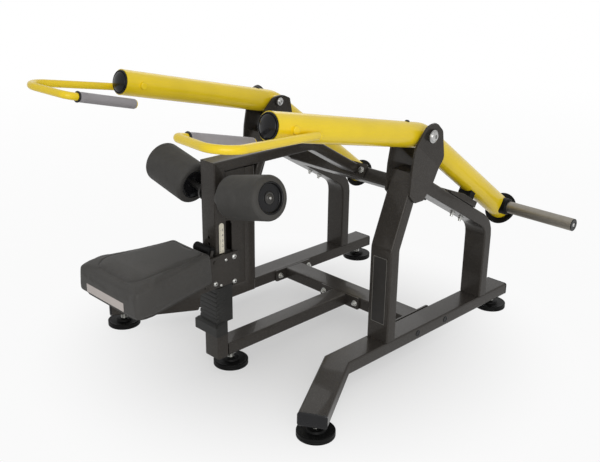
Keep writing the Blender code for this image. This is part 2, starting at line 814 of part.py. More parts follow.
def make_cross_tube(looks, frame):
    centre = (cross_tube_front() - SLOPE_UP * CROSS_TUBE_DEPTH / 2
              + SLOPE_ALONG * NARROW_WIDTH / 2)
    reach = X_AXIS * (SIDE_X - TUBE_WIDTH / 2 - GAP)
    shape = bmesh.new()
    box_tube(shape, [centre - reach, centre + reach], NARROW_WIDTH, CROSS_TUBE_DEPTH,
             SLOPE_ALONG)
    finish("upper_cross_tube", shape, looks["anthracite_paint"], frame)


# Height scale and guide sleeve on the front post

def make_height_scale(looks, frame):
    face = NARROW_WIDTH / 2 + GAP
    half = SCALE_WIDTH / 2
    outline = rounded_outline([(POST_Y - half, SCALE_BASE), (POST_Y + half, SCALE_BASE),
                               (POST_Y + half, SCALE_TOP), (POST_Y - half, SCALE_TOP)],
                              [0, 0, half * 0.98, half * 0.98], 3)
    shape = bmesh.new()
    add_slab(shape, outline, on_side, face, face + SCALE_THICKNESS)
    finish("height_scale", shape, looks["scale_cream"], frame)


def sleeve_section(wall, z):
    """The sleeve's front half at height z: round the post's front, and open behind."""
    inside = NARROW_WIDTH / 2 + GAP
    outside = NARROW_WIDTH / 2 + wall
    inner_face = POST_Y - POST_DEPTH / 2 - GAP
    outer_face = POST_Y - POST_DEPTH / 2 - wall
    radius = SLEEVE_WALL * 0.6
    outline = rounded_outline(
        [(inside, POST_Y), (inside, inner_face), (-inside, inner_face), (-inside, POST_Y),
         (-outside, POST_Y), (-outside, outer_face), (outside, outer_face), (outside, POST_Y)],
        [0, 0, 0, 0, 0, radius, radius, 0], 2)
    return [Vector((x, y, z)) for x, y in outline]


def make_guide_sleeve(looks, frame):
    """Ribbed front half with a flange at its foot, and a plain back half that passes the
    rear post's tube on both sides."""
    flange = SLEEVE_WALL + SLEEVE_FLANGE
    sections = [sleeve_section(flange, SLEEVE_BASE),
                sleeve_section(flange, SLEEVE_FLANGE_TOP - SLEEVE_FLANGE / 2),
                sleeve_section(SLEEVE_WALL + SLEEVE_FLANGE / 2, SLEEVE_FLANGE_TOP),
                sleeve_section(SLEEVE_WALL, SLEEVE_FLANGE_TOP + 0.002)]
    pitch = (SLEEVE_TOP - SLEEVE_FLANGE_TOP) / (SLEEVE_RIBS + 1)
    for i in range(SLEEVE_RIBS):
        z = SLEEVE_FLANGE_TOP + pitch * (i + 1)
        sections += [sleeve_section(SLEEVE_WALL, z - pitch * 0.25),
                     sleeve_section(SLEEVE_WALL - SLEEVE_RIB_DEPTH, z),
                     sleeve_section(SLEEVE_WALL, z + pitch * 0.25)]
    sections.append(sleeve_section(SLEEVE_WALL, SLEEVE_TOP))
    shape = bmesh.new()
    add_solid(shape, sections)
    sleeve = finish("guide_sleeve", shape, looks["black_rubber"], frame)

    inside = NARROW_WIDTH / 2 + GAP
    outside = NARROW_WIDTH / 2 + SLEEVE_WALL - 0.001
    back = POST_Y + POST_DEPTH / 2 + GAP
    overlap = POST_Y - 0.004
    halves = bmesh.new()
    for _, sign in SIDES:
        outline = [(sign * inside, overlap), (sign * outside, overlap),
                   (sign * outside, back + SLEEVE_BACK), (sign * inside, back + SLEEVE_BACK)]
        add_slab(halves, outline, on_floor, SLEEVE_FLANGE_TOP, SLEEVE_BACK_TOP)
    wrap = bmesh.new()
    reach = inside + SLEEVE_WALL / 2
    add_slab(wrap, [(-reach, back), (reach, back), (reach, back + SLEEVE_BACK),
                    (-reach, back + SLEEVE_BACK)], on_floor, SLEEVE_FLANGE_TOP + 0.001,
             COLUMN_BASE - GAP)
    weld(sleeve, new_tool("back_sides", halves, frame))
    weld(sleeve, new_tool("back_wall", wrap, frame))
    settle(sleeve)


# Pivot brackets and bolts

CREASE_POINT = Vector((0.516, 0.840))
CREASE_ALONG = Vector((0.117, -0.093)).normalized()
CREASE_NORMAL = Vector((-CREASE_ALONG.y, CREASE_ALONG.x))


def cheek_outline():
    """Side view of a cheek: it hugs the leg top, widens behind and ends round the pivot."""
    corners = [(0.464, 0.676), (0.496, 0.643), (0.546, 0.643), (0.599, 0.700), (0.646, 0.786),
               (0.612, 0.897), (0.568, 0.936), (0.527, 0.921), (0.484, 0.842), (0.471, 0.774)]
    radii = [0, 0.010, 0.010, 0, 0.030, 0.030, 0.030, 0.030, 0, 0]
    return rounded_outline(corners, radii, 2)


def add_cheek(shape, sign, facing):
    """A plate beside the leg that leans outwards above a crease."""
    sheet = bmesh.new()
    sheet.faces.new([sheet.verts.new((0, y, z)) for y, z in cheek_outline()])
    bmesh.ops.bisect_plane(sheet, geom=[*sheet.faces, *sheet.edges, *sheet.verts],
                           plane_co=(0, *CREASE_POINT), plane_no=(0, *CREASE_NORMAL))
    outer = bmesh.ops.extrude_face_region(sheet, geom=sheet.faces[:])
    moved = {part for part in outer["geom"] if isinstance(part, bmesh.types.BMVert)}
    for vert in sheet.verts:
        above = (Vector((vert.co.y, vert.co.z)) - CREASE_POINT).dot(CREASE_NORMAL)
        offset = TUBE_WIDTH / 2 + GAP + CHEEK_FLARE * max(above, 0)
        vert.co.x = sign * SIDE_X + facing * (offset + (PLATE if vert in moved else 0))
    mesh = bpy.data.meshes.new("cheek")
    sheet.to_mesh(mesh)
    sheet.free()
    shape.from_mesh(mesh)
    bpy.data.meshes.remove(mesh)


def make_pivot_brackets(looks, frame):
    """Two cheeks welded to a web, with a boss in each cheek's head for the pivot bolt."""
    bush_end = BUSH_LENGTH / 2 + GAP
    for side, sign in SIDES:
        web = bmesh.new()
        half = TUBE_WIDTH / 2 + PLATE / 2
        add_slab(web, saddle_outline(), on_side, sign * SIDE_X - half, sign * SIDE_X + half)
        bracket = finish(side + "_pivot_bracket", web, looks["anthracite_paint"], frame)
        pivot = Vector((sign * SIDE_X, PIVOT_Y, PIVOT_Z))
        cheeks = bmesh.new()
        bosses = []
        for facing in (1, -1):
            add_cheek(cheeks, sign, facing)
            bosses.append((pivot + X_AXIS * facing * bush_end,
                           pivot + X_AXIS * facing * BOSS_FACE, BOSS_RADIUS))
        weld(bracket, new_tool("cheeks", cheeks, frame))
        weld(bracket, rods_tool("bosses", bosses, frame, 16))
        hole = [(pivot - X_AXIS * 2 * BOSS_FACE, pivot + X_AXIS * 2 * BOSS_FACE,
                 hole_for(PIVOT_BOLT_RADIUS, 16))]
        cut(bracket, rods_tool("pivot_hole", hole, frame, 16))
        settle(bracket, 10.0)


def make_pivot_bolts(looks, frame):
    """A plain shank with a domed head on each side."""
    half = BOSS_FACE + GAP
    radius = PIVOT_HEAD_RADIUS
    head = PIVOT_HEAD_HEIGHT
    profile = [(0, -half - head), (radius * 0.8, -half - head), (radius, -half - head * 0.6),
               (radius, -half), (PIVOT_BOLT_RADIUS, -half), (PIVOT_BOLT_RADIUS, half),
               (radius, half), (radius * 0.8, half + head), (0, half + head)]
    for side, sign in SIDES:
        shape = bmesh.new()
        add_turned(shape, Vector((sign * SIDE_X, PIVOT_Y, PIVOT_Z)), X_AXIS * sign, profile, 16)
        finish(side + "_pivot_bolt", shape, looks["zinc"], frame)


# Arm stops on the rear legs

def stop_outline_point(along, height):
    point = diagonal_point(STOP_START_Y, height) + SLOPE_ALONG * along
    return point.y, point.z


def at_rest(point, side):
    """Where a point of an untilted press arm is when that arm lies on its stop."""
    pivot = Vector((0, PIVOT_Y, PIVOT_Z))
    turn = Matrix.Rotation(-math.radians(ARM_REST_TILT[side]), 3, "X")
    return pivot + turn @ (point - pivot)


def make_arm_stops(looks, frame):
    half = TUBE_WIDTH / 2
    bracket = [stop_outline_point(a, h + GAP) for a, h in
               ((0, 0), (0, STOP_LOW), (STOP_RAMP, STOP_HEIGHT), (STOP_LENGTH, STOP_HEIGHT),
                (STOP_LENGTH, 0))]
    top = STOP_HEIGHT + 2 * GAP
    pad_height = top + ARM_RADIUS
    pad_start = STOP_LENGTH - STOP_PAD_LENGTH
    pad = [stop_outline_point(a, h) for a, h in
           ((pad_start, top), (pad_start, pad_height), (STOP_LENGTH, pad_height),
            (STOP_LENGTH, top))]
    for side, sign in SIDES:
        x = sign * SIDE_X
        steel = bmesh.new()
        add_slab(steel, bracket, on_side, x - half, x + half)
        finish(side + "_stop_bracket", steel, looks["anthracite_paint"], frame)
        rubber = bmesh.new()
        add_slab(rubber, pad, on_side, x - STOP_PAD_HALF_WIDTH, x + STOP_PAD_HALF_WIDTH)
        rest = finish(side + "_stop_pad", rubber, looks["black_rubber"], frame)
        start = arm_point(ARM_ELBOW_Y, sign)
        arm = [(at_rest(start, side), at_rest(start + ARM_REARWARD, side),
                hole_for(ARM_RADIUS, 24))]
        cut(rest, rods_tool("arm_cradle", arm, frame, 24))
        settle(rest)


# Press arms

def make_arm_tube(side, sign, looks, arm):
    path = rounded_path([arm_point(ARM_FRONT_Y, sign), arm_point(ARM_ELBOW_Y, sign),
                         arm_point(ARM_REAR_Y, sign)], [ARM_BEND_RADIUS], 4)
    shape = bmesh.new()
    add_tube(shape, swept(path, circle(ARM_RADIUS, 24), X_AXIS),
             swept(path, circle(ARM_RADIUS - ARM_WALL, 24), X_AXIS))
    tube = finish(side + "_arm_tube", shape, looks["yellow_paint"], arm)
    reach = X_AXIS * (ARM_RADIUS + ARM_STUB_OUT)
    stub = arm_point(ARM_STUB_Y, sign)
    weld(tube, rods_tool("cross_stub", [(stub - reach, stub + reach, ARM_STUB_RADIUS)], arm, 12))
    pivot = Vector((sign * SIDE_X, PIVOT_Y, PIVOT_Z))
    half = X_AXIS * BUSH_LENGTH / 2
    weld(tube, rods_tool("pivot_bush", [(pivot - half, pivot + half, BUSH_RADIUS)], arm, 16))
    hole = [(pivot - 2 * half, pivot + 2 * half, hole_for(PIVOT_BOLT_RADIUS, 16))]
    cut(tube, rods_tool("pivot_hole", hole, arm, 16))
    settle(tube)


def make_arm_ends(side, sign, looks, arm):
    """Domed front cap with its plug, and the rubber disc on the lower end."""
    front = arm_point(ARM_FRONT_Y, sign)
    bore = ARM_RADIUS - ARM_WALL - GAP
    shape = bmesh.new()
    cap = [(0, -CAP_PLUG), (bore, -CAP_PLUG), (bore, GAP), (ARM_RADIUS, GAP),
           (ARM_RADIUS, 0.004), (ARM_RADIUS * 0.88, 0.0095), (ARM_RADIUS * 0.5, 0.0135),
           (0, 0.0145)]
    add_turned(shape, front, ARM_FORWARD, cap, 24)
    finish(side + "_arm_cap", shape, looks["black_plastic"], arm)

    shape = bmesh.new()
    thick = ARM_DISC_THICKNESS
    disc = [(0, GAP), (ARM_DISC_RADIUS - 0.003, GAP), (ARM_DISC_RADIUS, 0.003),
            (ARM_DISC_RADIUS, thick - 0.003), (ARM_DISC_RADIUS - 0.004, thick), (0, thick)]
    add_turned(shape, arm_point(ARM_REAR_Y, sign), ARM_REARWARD, disc, 24)
    finish(side + "_arm_disc", shape, looks["black_rubber"], arm)


def handle_corners(sign):
    """Weld end, outer corner, front corner and grip end of the handle."""
    below = math.radians(HANDLE_WELD_BELOW)
    up = Vector((0, ARM_FORWARD.z, -ARM_FORWARD.y))
    reach = ARM_RADIUS + HANDLE_RADIUS + GAP * 2
    weld_end = (arm_point(HANDLE_WELD_Y, sign) + X_AXIS * sign * math.cos(below) * reach
                - up * math.sin(below) * reach)
    outer = Vector((sign * (SIDE_X + HANDLE_CORNER_OUT), HANDLE_CORNER_Y, HANDLE_CORNER_Z))
    front = Vector((sign * (SIDE_X - HANDLE_FRONT_IN), HANDLE_FRONT_Y, HANDLE_FRONT_Z))
    grip_end = Vector((sign * (SIDE_X - GRIP_END_IN), GRIP_END_Y, GRIP_END_Z))
    return weld_end, outer, front, grip_end


def make_handle(side, sign, looks, arm):
    weld_end, outer, front, grip_end = handle_corners(sign)
    along = (grip_end - front).normalized()
    tube_end = grip_end - along * 0.006
    run_in = (weld_end - outer).normalized()
    root = weld_end + run_in * HANDLE_RUN_IN
    corners = [tube_end, front, outer, root]
    radii = [HANDLE_FRONT_RADIUS, HANDLE_CORNER_RADIUS]
    path = rounded_path(corners, radii, 4)
    bore_path = path[:-1] + [weld_end - run_in * 0.010]
    shape = bmesh.new()
    side_way = (path[1] - path[0]).orthogonal().normalized()
    add_tube(shape, swept(path, circle(HANDLE_RADIUS, 12), side_way),
             swept(bore_path, circle(HANDLE_RADIUS - HANDLE_WALL, 12), side_way), blind=True)
    handle = finish(side + "_handle_tube", shape, looks["yellow_paint"], arm)
    cope = [(arm_point(ARM_FRONT_Y, sign), arm_point(ARM_ELBOW_Y, sign),
             hole_for(ARM_RADIUS, 24))]
    cut(handle, rods_tool("arm_cope", cope, arm, 24))
    settle(handle)

    shape = bmesh.new()
    bore = hole_for(HANDLE_RADIUS, 16)
    cap = 0.006 - GAP
    ring = -GRIP_LENGTH - GRIP_RING_LENGTH
    grip = [(0, -cap), (bore, -cap), (bore, ring), (GRIP_RING_RADIUS, ring),
            (GRIP_RING_RADIUS, -GRIP_LENGTH), (GRIP_RADIUS, -GRIP_LENGTH),
            (GRIP_RADIUS, -0.004), (GRIP_RADIUS * 0.8, 0.0), (0, 0.001)]
    add_turned(shape, grip_end, along, grip, 16)
    finish(side + "_handle_grip", shape, looks["grey_rubber"], arm)


def make_horn(side, sign, looks, arm):
    """Solid weight horn with a raised centre on its end, and its collar, both coped to the arm."""
    axis = X_AXIS * sign
    root = arm_point(HORN_Y, sign)
    length = HORN_REACH - SIDE_X
    inside = ARM_RADIUS * 0.5

    shape = bmesh.new()
    add_turned(shape, root, axis,
               [(0, inside), (HORN_RADIUS, inside), (HORN_RADIUS, length - 0.002),
                (HORN_RADIUS - 0.002, length), (0.010, length), (0.010, length + 0.003),
                (0, length + 0.003)], 24)
    horn = finish(side + "_weight_horn", shape, looks["bare_steel"], arm)

    shape = bmesh.new()
    bore = hole_for(HORN_RADIUS, 24)
    out = ARM_RADIUS + HORN_COLLAR_OUT
    add_turned(shape, root, axis, [(bore, inside), (HORN_COLLAR_RADIUS, inside),
                                   (HORN_COLLAR_RADIUS, out - 0.004),
                                   (HORN_COLLAR_RADIUS - 0.004, out), (bore, out)], 24)
    trim = finish(side + "_horn_collar", shape, looks["black_rubber"], arm)
    start = arm_point(ARM_ELBOW_Y, sign)
    for piece in (horn, trim):
        cope = [(start, start + ARM_REARWARD * 1.0, hole_for(ARM_RADIUS, 24))]
        cut(piece, rods_tool("arm_cope", cope, arm, 24))
        settle(piece)


def make_press_arms(looks, frame):
    for side, sign in SIDES:
        arm = axis_empty(side + "_arm_pivot", Vector((sign * SIDE_X, PIVOT_Y, PIVOT_Z)), frame)
        arm.rotation_euler.x = -math.radians(ARM_REST_TILT[side])
        make_arm_tube(side, sign, looks, arm)
        make_arm_ends(side, sign, looks, arm)
        make_handle(side, sign, looks, arm)
        make_horn(side, sign, looks, arm)


# Thigh rollers

def pad_axis(sign):
    tilt = math.radians(PAD_TILT)
    return Vector((sign * math.cos(tilt), 0, math.sin(tilt)))


def pad_start():
    """Distance of the roller's inner end from the middle of the post, along its axis."""
    return NARROW_WIDTH / 2 / math.cos(math.radians(PAD_TILT)) + PAD_START


def make_pad_axles(looks, frame):
    """Round bars that stand out from the post, each with a foot flange and a washer head."""
    middle = Vector((0, POST_Y, PAD_AXIS_Z))
    face = NARROW_WIDTH / 2 + GAP
    end = pad_start() + PAD_LENGTH - PAD_RECESS_DEPTH + GAP
    for side, sign in SIDES:
        axis = pad_axis(sign)
        start = middle + axis * face / abs(axis.x)
        shape = bmesh.new()
        add_solid(shape, swept([start, middle + axis * (end + 0.001)],
                               circle(AXLE_RADIUS, 16), Y_AXIS, start_cut=X_AXIS * sign))
        axle = finish(side + "_roller_axle", shape, looks["zinc"], frame)
        ends = bmesh.new()
        add_rod(ends, start, start + X_AXIS * sign * PLATE, AXLE_FLANGE_RADIUS, 16)
        add_turned(ends, middle, axis,
                   [(0, end), (AXLE_RADIUS * 1.6, end), (AXLE_RADIUS * 1.6, end + 0.003),
                    (AXLE_RADIUS * 0.7, end + 0.006), (0, end + 0.006)], 16)
        weld(axle, new_tool("ends", ends, frame))
        settle(axle)


def make_thigh_rollers(looks, frame):
    """Foam rollers on a hub that turns on the axle, dished at both ends."""
    inner = pad_start()
    outer = inner + PAD_LENGTH
    recess = PAD_RECESS_DEPTH
    edge = PAD_EDGE
    bore = hole_for(AXLE_RADIUS, 24)
    for side, sign in SIDES:
        middle = Vector((0, POST_Y, PAD_AXIS_Z))
        roller = axis_empty(side + "_roller_axis", middle, frame)
        foam = [(PAD_RECESS_RADIUS, inner), (PAD_RADIUS - edge, inner),
                (PAD_RADIUS - edge * 0.3, inner + edge * 0.3), (PAD_RADIUS, inner + edge),
                (PAD_RADIUS, outer - edge), (PAD_RADIUS - edge * 0.3, outer - edge * 0.3),
                (PAD_RADIUS - edge, outer), (PAD_RECESS_RADIUS, outer),
                (PAD_RECESS_RADIUS, outer - recess), (bore, outer - recess),
                (bore, inner + recess), (PAD_RECESS_RADIUS, inner + recess)]
        shape = bmesh.new()
        add_turned(shape, middle, pad_axis(sign), foam, 24)
        finish(side + "_thigh_roller", shape, looks["vinyl"], roller)


# Seat carriage and what it carries

def front_roller_y():
    return POST_Y - POST_DEPTH / 2 - GAP - FRONT_ROLLER_RADIUS


def rear_roller_y():
    return POST_Y + POST_DEPTH / 2 + GAP + REAR_ROLLER_RADIUS


def roller_places():
    """Name, y, z, radius and half length of each guide roller."""
    rear_half = NARROW_WIDTH / 2 - TUBE_WALL - COLUMN_PLATE - 0.002
    places = []
    for name, z in zip(("lower", "upper"), REAR_ROLLER_HEIGHTS):
        places.append(("rear_" + name, rear_roller_y(), z, REAR_ROLLER_RADIUS, rear_half))
    for name, z in zip(("lower", "upper"), FRONT_ROLLER_HEIGHTS):
        places.append(("front_" + name, front_roller_y(), z, FRONT_ROLLER_RADIUS,
                       FRONT_ROLLER_HALF_WIDTH))
    return places


def carriage_outline():
    tray_base = SEAT_TRAY_TOP - SEAT_TRAY_THICKNESS
    corners = [(CARRIAGE_REAR_Y, CARRIAGE_BASE), (CARRIAGE_REAR_Y, CARRIAGE_TOP),
               (CARRIAGE_FRONT_Y, CARRIAGE_TOP), (CARRIAGE_FRONT_Y, tray_base),
               (SEAT_ARM_FRONT_Y, tray_base), (SEAT_ARM_FRONT_Y, SEAT_ARM_FRONT_BASE),
               (SEAT_ARM_REAR_Y, SEAT_ARM_BASE), (SEAT_ARM_REAR_Y + 0.012, CARRIAGE_BASE)]
    return rounded_outline(corners, [0.010, 0.010, 0.008, 0.006, 0, 0.012, 0.006, 0.004], 2)


def add_headed_pin(shape, y, z):
    """A roller axle or hinge pin across the carriage, with a head outside each side plate."""
    face = CARRIAGE_HALF_GAP + PLATE
    rod = ROLLER_AXLE_RADIUS
    head = rod * 2
    profile = [(0, -face - 0.004), (head, -face - 0.003), (head, -face + 0.001),
               (rod, -face + 0.001), (rod, face - 0.001), (head, face - 0.001),
               (head, face + 0.003), (0, face + 0.004)]
    add_turned(shape, Vector((0, y, z)), X_AXIS, profile, 8)


def make_carriage(looks, seat):
    """Two side plates welded to a keeper block and the seat tray, with the pins across them."""
    inner = CARRIAGE_HALF_GAP
    outer = inner + PLATE
    shape = bmesh.new()
    for _, sign in SIDES:
        add_slab(shape, carriage_outline(), on_side, sign * inner, sign * outer)
    carriage = finish("seat_carriage", shape, looks["anthracite_paint"], seat)

    low, high = FRONT_ROLLER_HEIGHTS
    keeper_base = low + FRONT_ROLLER_RADIUS + 0.003
    keeper_top = high - FRONT_ROLLER_RADIUS - 0.003
    keeper_rear = POST_Y - POST_DEPTH / 2 - 0.002
    keeper_front = keeper_rear - KEEPER_LENGTH
    half = inner + PLATE / 2
    keeper = bmesh.new()
    add_slab(keeper, [(-half, keeper_base), (half, keeper_base), (half, keeper_top),
                      (-half, keeper_top)], on_front, keeper_front, keeper_rear)
    tray = bmesh.new()
    tray_outline = [(-half, SEAT_ARM_FRONT_Y), (half, SEAT_ARM_FRONT_Y),
                    (half, SEAT_ARM_REAR_Y), (-half, SEAT_ARM_REAR_Y)]
    add_slab(tray, tray_outline, on_floor, SEAT_TRAY_TOP - SEAT_TRAY_THICKNESS - 0.004,
             SEAT_TRAY_TOP)
    weld(carriage, new_tool("keeper", keeper, seat))
    weld(carriage, new_tool("tray", tray, seat))
    latch = [(Vector((0, keeper_front - PLATE, LATCH_Z)),
              Vector((0, keeper_rear + PLATE / 2, LATCH_Z)), hole_for(LATCH_RADIUS))]
    cut(carriage, rods_tool("latch_hole", latch, seat))
    pins = bmesh.new()
    for _, y, z, _, _ in roller_places():
        add_headed_pin(pins, y, z)
    add_headed_pin(pins, LEVER_PIVOT_Y, LEVER_PIVOT_Z)
    weld(carriage, new_tool("pins", pins, seat))
    settle(carriage)


def make_guide_rollers(looks, seat):
    bore = hole_for(ROLLER_AXLE_RADIUS, 16)
    for name, y, z, radius, half in roller_places():
        centre = Vector((0, y, z))
        roller = axis_empty(name + "_roller_axis", centre, seat)
        shape = bmesh.new()
        add_turned(shape, centre, X_AXIS,
                   [(bore, -half), (radius - 0.002, -half), (radius, -half + 0.002),
                    (radius, half - 0.002), (radius - 0.002, half), (bore, half)], 16)
        finish(name + "_roller", shape, looks["black_plastic"], roller)


def lever_line(z):
    """y of the straight lever at height z."""
    share = (z - LEVER_PIVOT_Z) / (LEVER_GRIP_Z - LEVER_PIVOT_Z)
    return LEVER_PIVOT_Y + share * (LEVER_GRIP_Y - LEVER_PIVOT_Y)


def make_lever(looks, seat):
    lever = axis_empty("lever_pivot", Vector((0, LEVER_PIVOT_Y, LEVER_PIVOT_Z)), seat)
    pivot = Vector((0, LEVER_PIVOT_Y, LEVER_PIVOT_Z))
    grip = Vector((0, LEVER_GRIP_Y, LEVER_GRIP_Z))
    along = (grip - pivot).normalized()
    across = Vector((0, -along.z, along.y))
    wide = 0.0065
    outline = []
    for centre, way in ((pivot, -1), (grip, 1)):
        for angle in range(-60, 61, 30):
            turn = math.radians(angle)
            point = centre + (along * math.cos(turn) + across * math.sin(turn)) * way * wide
            outline.append((point.y, point.z))
    inner = LEVER_HALF_WIDTH - LEVER_ARM
    shape = bmesh.new()
    for _, sign in SIDES:
        add_slab(shape, outline, on_side, sign * inner, sign * LEVER_HALF_WIDTH)
    arms = finish("seat_lever", shape, looks["anthracite_paint"], lever)

    bar = bmesh.new()
    reach = inner + LEVER_ARM / 2
    bar_y = lever_line(LATCH_Z)
    half_depth = LEVER_ARM * 0.7
    half_height = LATCH_RADIUS + LATCH_SLOT_RISE + LEVER_ARM
    add_slab(bar, [(bar_y - half_depth, LATCH_Z - half_height), (bar_y + half_depth,
             LATCH_Z - half_height), (bar_y + half_depth, LATCH_Z + half_height),
             (bar_y - half_depth, LATCH_Z + half_height)], on_side, -reach, reach)
    add_rod(bar, grip - X_AXIS * reach, grip + X_AXIS * reach, 0.005)
    weld(arms, new_tool("cross_bars", bar, lever))
    far = X_AXIS * 2 * LEVER_HALF_WIDTH
    holes = [(pivot - far, pivot + far, hole_for(ROLLER_AXLE_RADIUS))]
    cut(arms, rods_tool("holes", holes, lever))
    slot = bmesh.new()
    slot_half = LATCH_RADIUS + 3 * GAP
    slot_rise = LATCH_RADIUS + LATCH_SLOT_RISE
    add_slab(slot, [(-slot_half, LATCH_Z - slot_rise), (slot_half, LATCH_Z - slot_rise),
                    (slot_half, LATCH_Z + slot_rise), (-slot_half, LATCH_Z + slot_rise)],
             on_front, bar_y - 2 * half_depth, bar_y + 2 * half_depth)
    cut(arms, new_tool("pin_slot", slot, lever))
    settle(arms)

    shape = bmesh.new()
    half = inner - GAP
    bore = hole_for(0.005)
    radius = LEVER_GRIP_RADIUS
    add_turned(shape, grip, X_AXIS,
               [(bore, -half), (radius - 0.003, -half), (radius, -half + 0.003),
                (radius, half - 0.003), (radius - 0.003, half), (bore, half)], 20)
    finish("lever_grip", shape, looks["black_rubber"], lever)


def make_latch_pin(looks, seat):
    latch = axis_empty("latch_axis", Vector((0, LEVER_PIVOT_Y, LATCH_Z)), seat)
    post_face = POST_Y - POST_DEPTH / 2
    bar_front = lever_line(LATCH_Z) - LEVER_ARM * 0.7
    head_back = bar_front - 0.0025
    tip = post_face - GAP
    start = Vector((0, head_back - 0.003, LATCH_Z))
    length = tip - start.y
    shape = bmesh.new()
    add_turned(shape, start, Y_AXIS,
               [(0, 0), (LATCH_HEAD_RADIUS, 0), (LATCH_HEAD_RADIUS, 0.003), (LATCH_RADIUS, 0.003),
                (LATCH_RADIUS, length - 0.002), (LATCH_RADIUS - 0.002, length), (0, length)], 12)
    finish("latch_pin", shape, looks["zinc"], latch)


def cushion_outline(inset):
    """The seat's outline drawn in by inset: wide in front and tapered to the back."""
    back = CUSHION_BACK_Y - inset
    front = CUSHION_FRONT_Y + inset
    right = [(CUSHION_BACK_HALF - inset, back), (CUSHION_WIDE_HALF - inset, CUSHION_WIDE_Y),
             (CUSHION_WIDE_HALF - inset, front)]
    corner = max(CUSHION_CORNER - inset / 2, 0.012)
    return rounded_outline(right + [(-x, y) for x, y in reversed(right)],
                           [0.012, 0.060, corner, corner, 0.060, 0.012], 3)


def cushion_ring(inset, share, bottom):
    """A ring of the cushion at a share of the height of its sides."""
    ring = []
    for x, y in cushion_outline(inset):
        along = (y - CUSHION_BACK_Y) / (CUSHION_FRONT_Y - CUSHION_BACK_Y)
        rim = CUSHION_BACK_RIM + (CUSHION_FRONT_RIM - CUSHION_BACK_RIM) * along
        ring.append(Vector((x, y, bottom + (rim - bottom) * share)))
    return ring


def make_cushion(looks, seat):
    base = SEAT_TRAY_TOP + GAP
    board_top = base + BOARD_THICKNESS
    shape = bmesh.new()
    add_solid(shape, [[Vector((x, y, z)) for x, y in cushion_outline(0.014)]
                      for z in (base, board_top)])
    finish("seat_board", shape, looks["plywood"], seat)

    levels = [(0.008, 0.0), (0.001, 0.10), (CUSHION_PULL * 0.7, 0.35), (CUSHION_PULL, 0.55),
              (CUSHION_PULL * 0.5, 0.80), (0.003, 0.93), (0.011, 1.0)]
    sections = [cushion_ring(inset, share, board_top + GAP) for inset, share in levels]
    crown = Vector((0, (CUSHION_BACK_Y + CUSHION_FRONT_Y) / 2, CUSHION_TOP))
    for scale, rise in ((0.84, 0.45), (0.62, 0.80), (0.34, 0.96)):
        sections.append([Vector((crown.x + (point.x - crown.x) * scale,
                                 crown.y + (point.y - crown.y) * scale,
                                 point.z + (CUSHION_TOP - point.z) * rise))
                         for point in sections[6]])
    shape = bmesh.new()
    rings = add_rings(shape, sections)
    skin(shape, rings)
    shape.faces.new(rings[0])
    skin(shape, [rings[-1], [shape.verts.new(crown)]])
    finish("seat_cushion", shape, looks["vinyl"], seat, sharp=60.0)


def make_seat(looks, frame):
    seat = axis_empty("seat_slide", Vector((0, POST_Y, CARRIAGE_BASE)), frame)
    make_carriage(looks, seat)
    make_guide_rollers(looks, seat)
    make_lever(looks, seat)
    make_latch_pin(looks, seat)
    make_cushion(looks, seat)


# The whole machine

def move_origin_under_middle(frame):
    """Puts the origin on the floor in the middle of the machine's footprint."""
    bpy.context.view_layer.update()
    corners = [made.matrix_world @ vert.co for made in bpy.data.objects
               if made.type == "MESH" and not made.hide_render for vert in made.data.vertices]
    low = [min(corner[i] for corner in corners) for i in range(3)]
    high = [max(corner[i] for corner in corners) for i in range(3)]
    frame.location = (-(low[0] + high[0]) / 2, -(low[1] + high[1]) / 2, -low[2])


def build():
    remove_everything()
    looks = make_materials()
    frame = bpy.data.objects.new("machine", None)
    bpy.context.scene.collection.objects.link(frame)
    make_runners(looks, frame)
    make_end_caps(looks, frame)
    make_feet(looks, frame)
    make_front_legs(looks, frame)
    make_rear_legs(looks, frame)
    make_lower_frame(looks, frame)
    make_front_post(looks, frame)
    make_rear_post(looks, frame)
    make_top_beam(looks, frame)
    make_strut(looks, frame)
    make_cross_tube(looks, frame)
    make_height_scale(looks, frame)
    make_guide_sleeve(looks, frame)
    make_pivot_brackets(looks, frame)
    make_pivot_bolts(looks, frame)
    make_arm_stops(looks, frame)
    make_pad_axles(looks, frame)
    make_thigh_rollers(looks, frame)
    make_press_arms(looks, frame)
    make_seat(looks, frame)
    move_origin_under_middle(frame)


build()
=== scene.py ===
"""Plate-loaded triceps press machine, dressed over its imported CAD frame."""
import json
import math

import bmesh
import bpy
from mathutils import Matrix, Vector
from mathutils.bvhtree import BVHTree

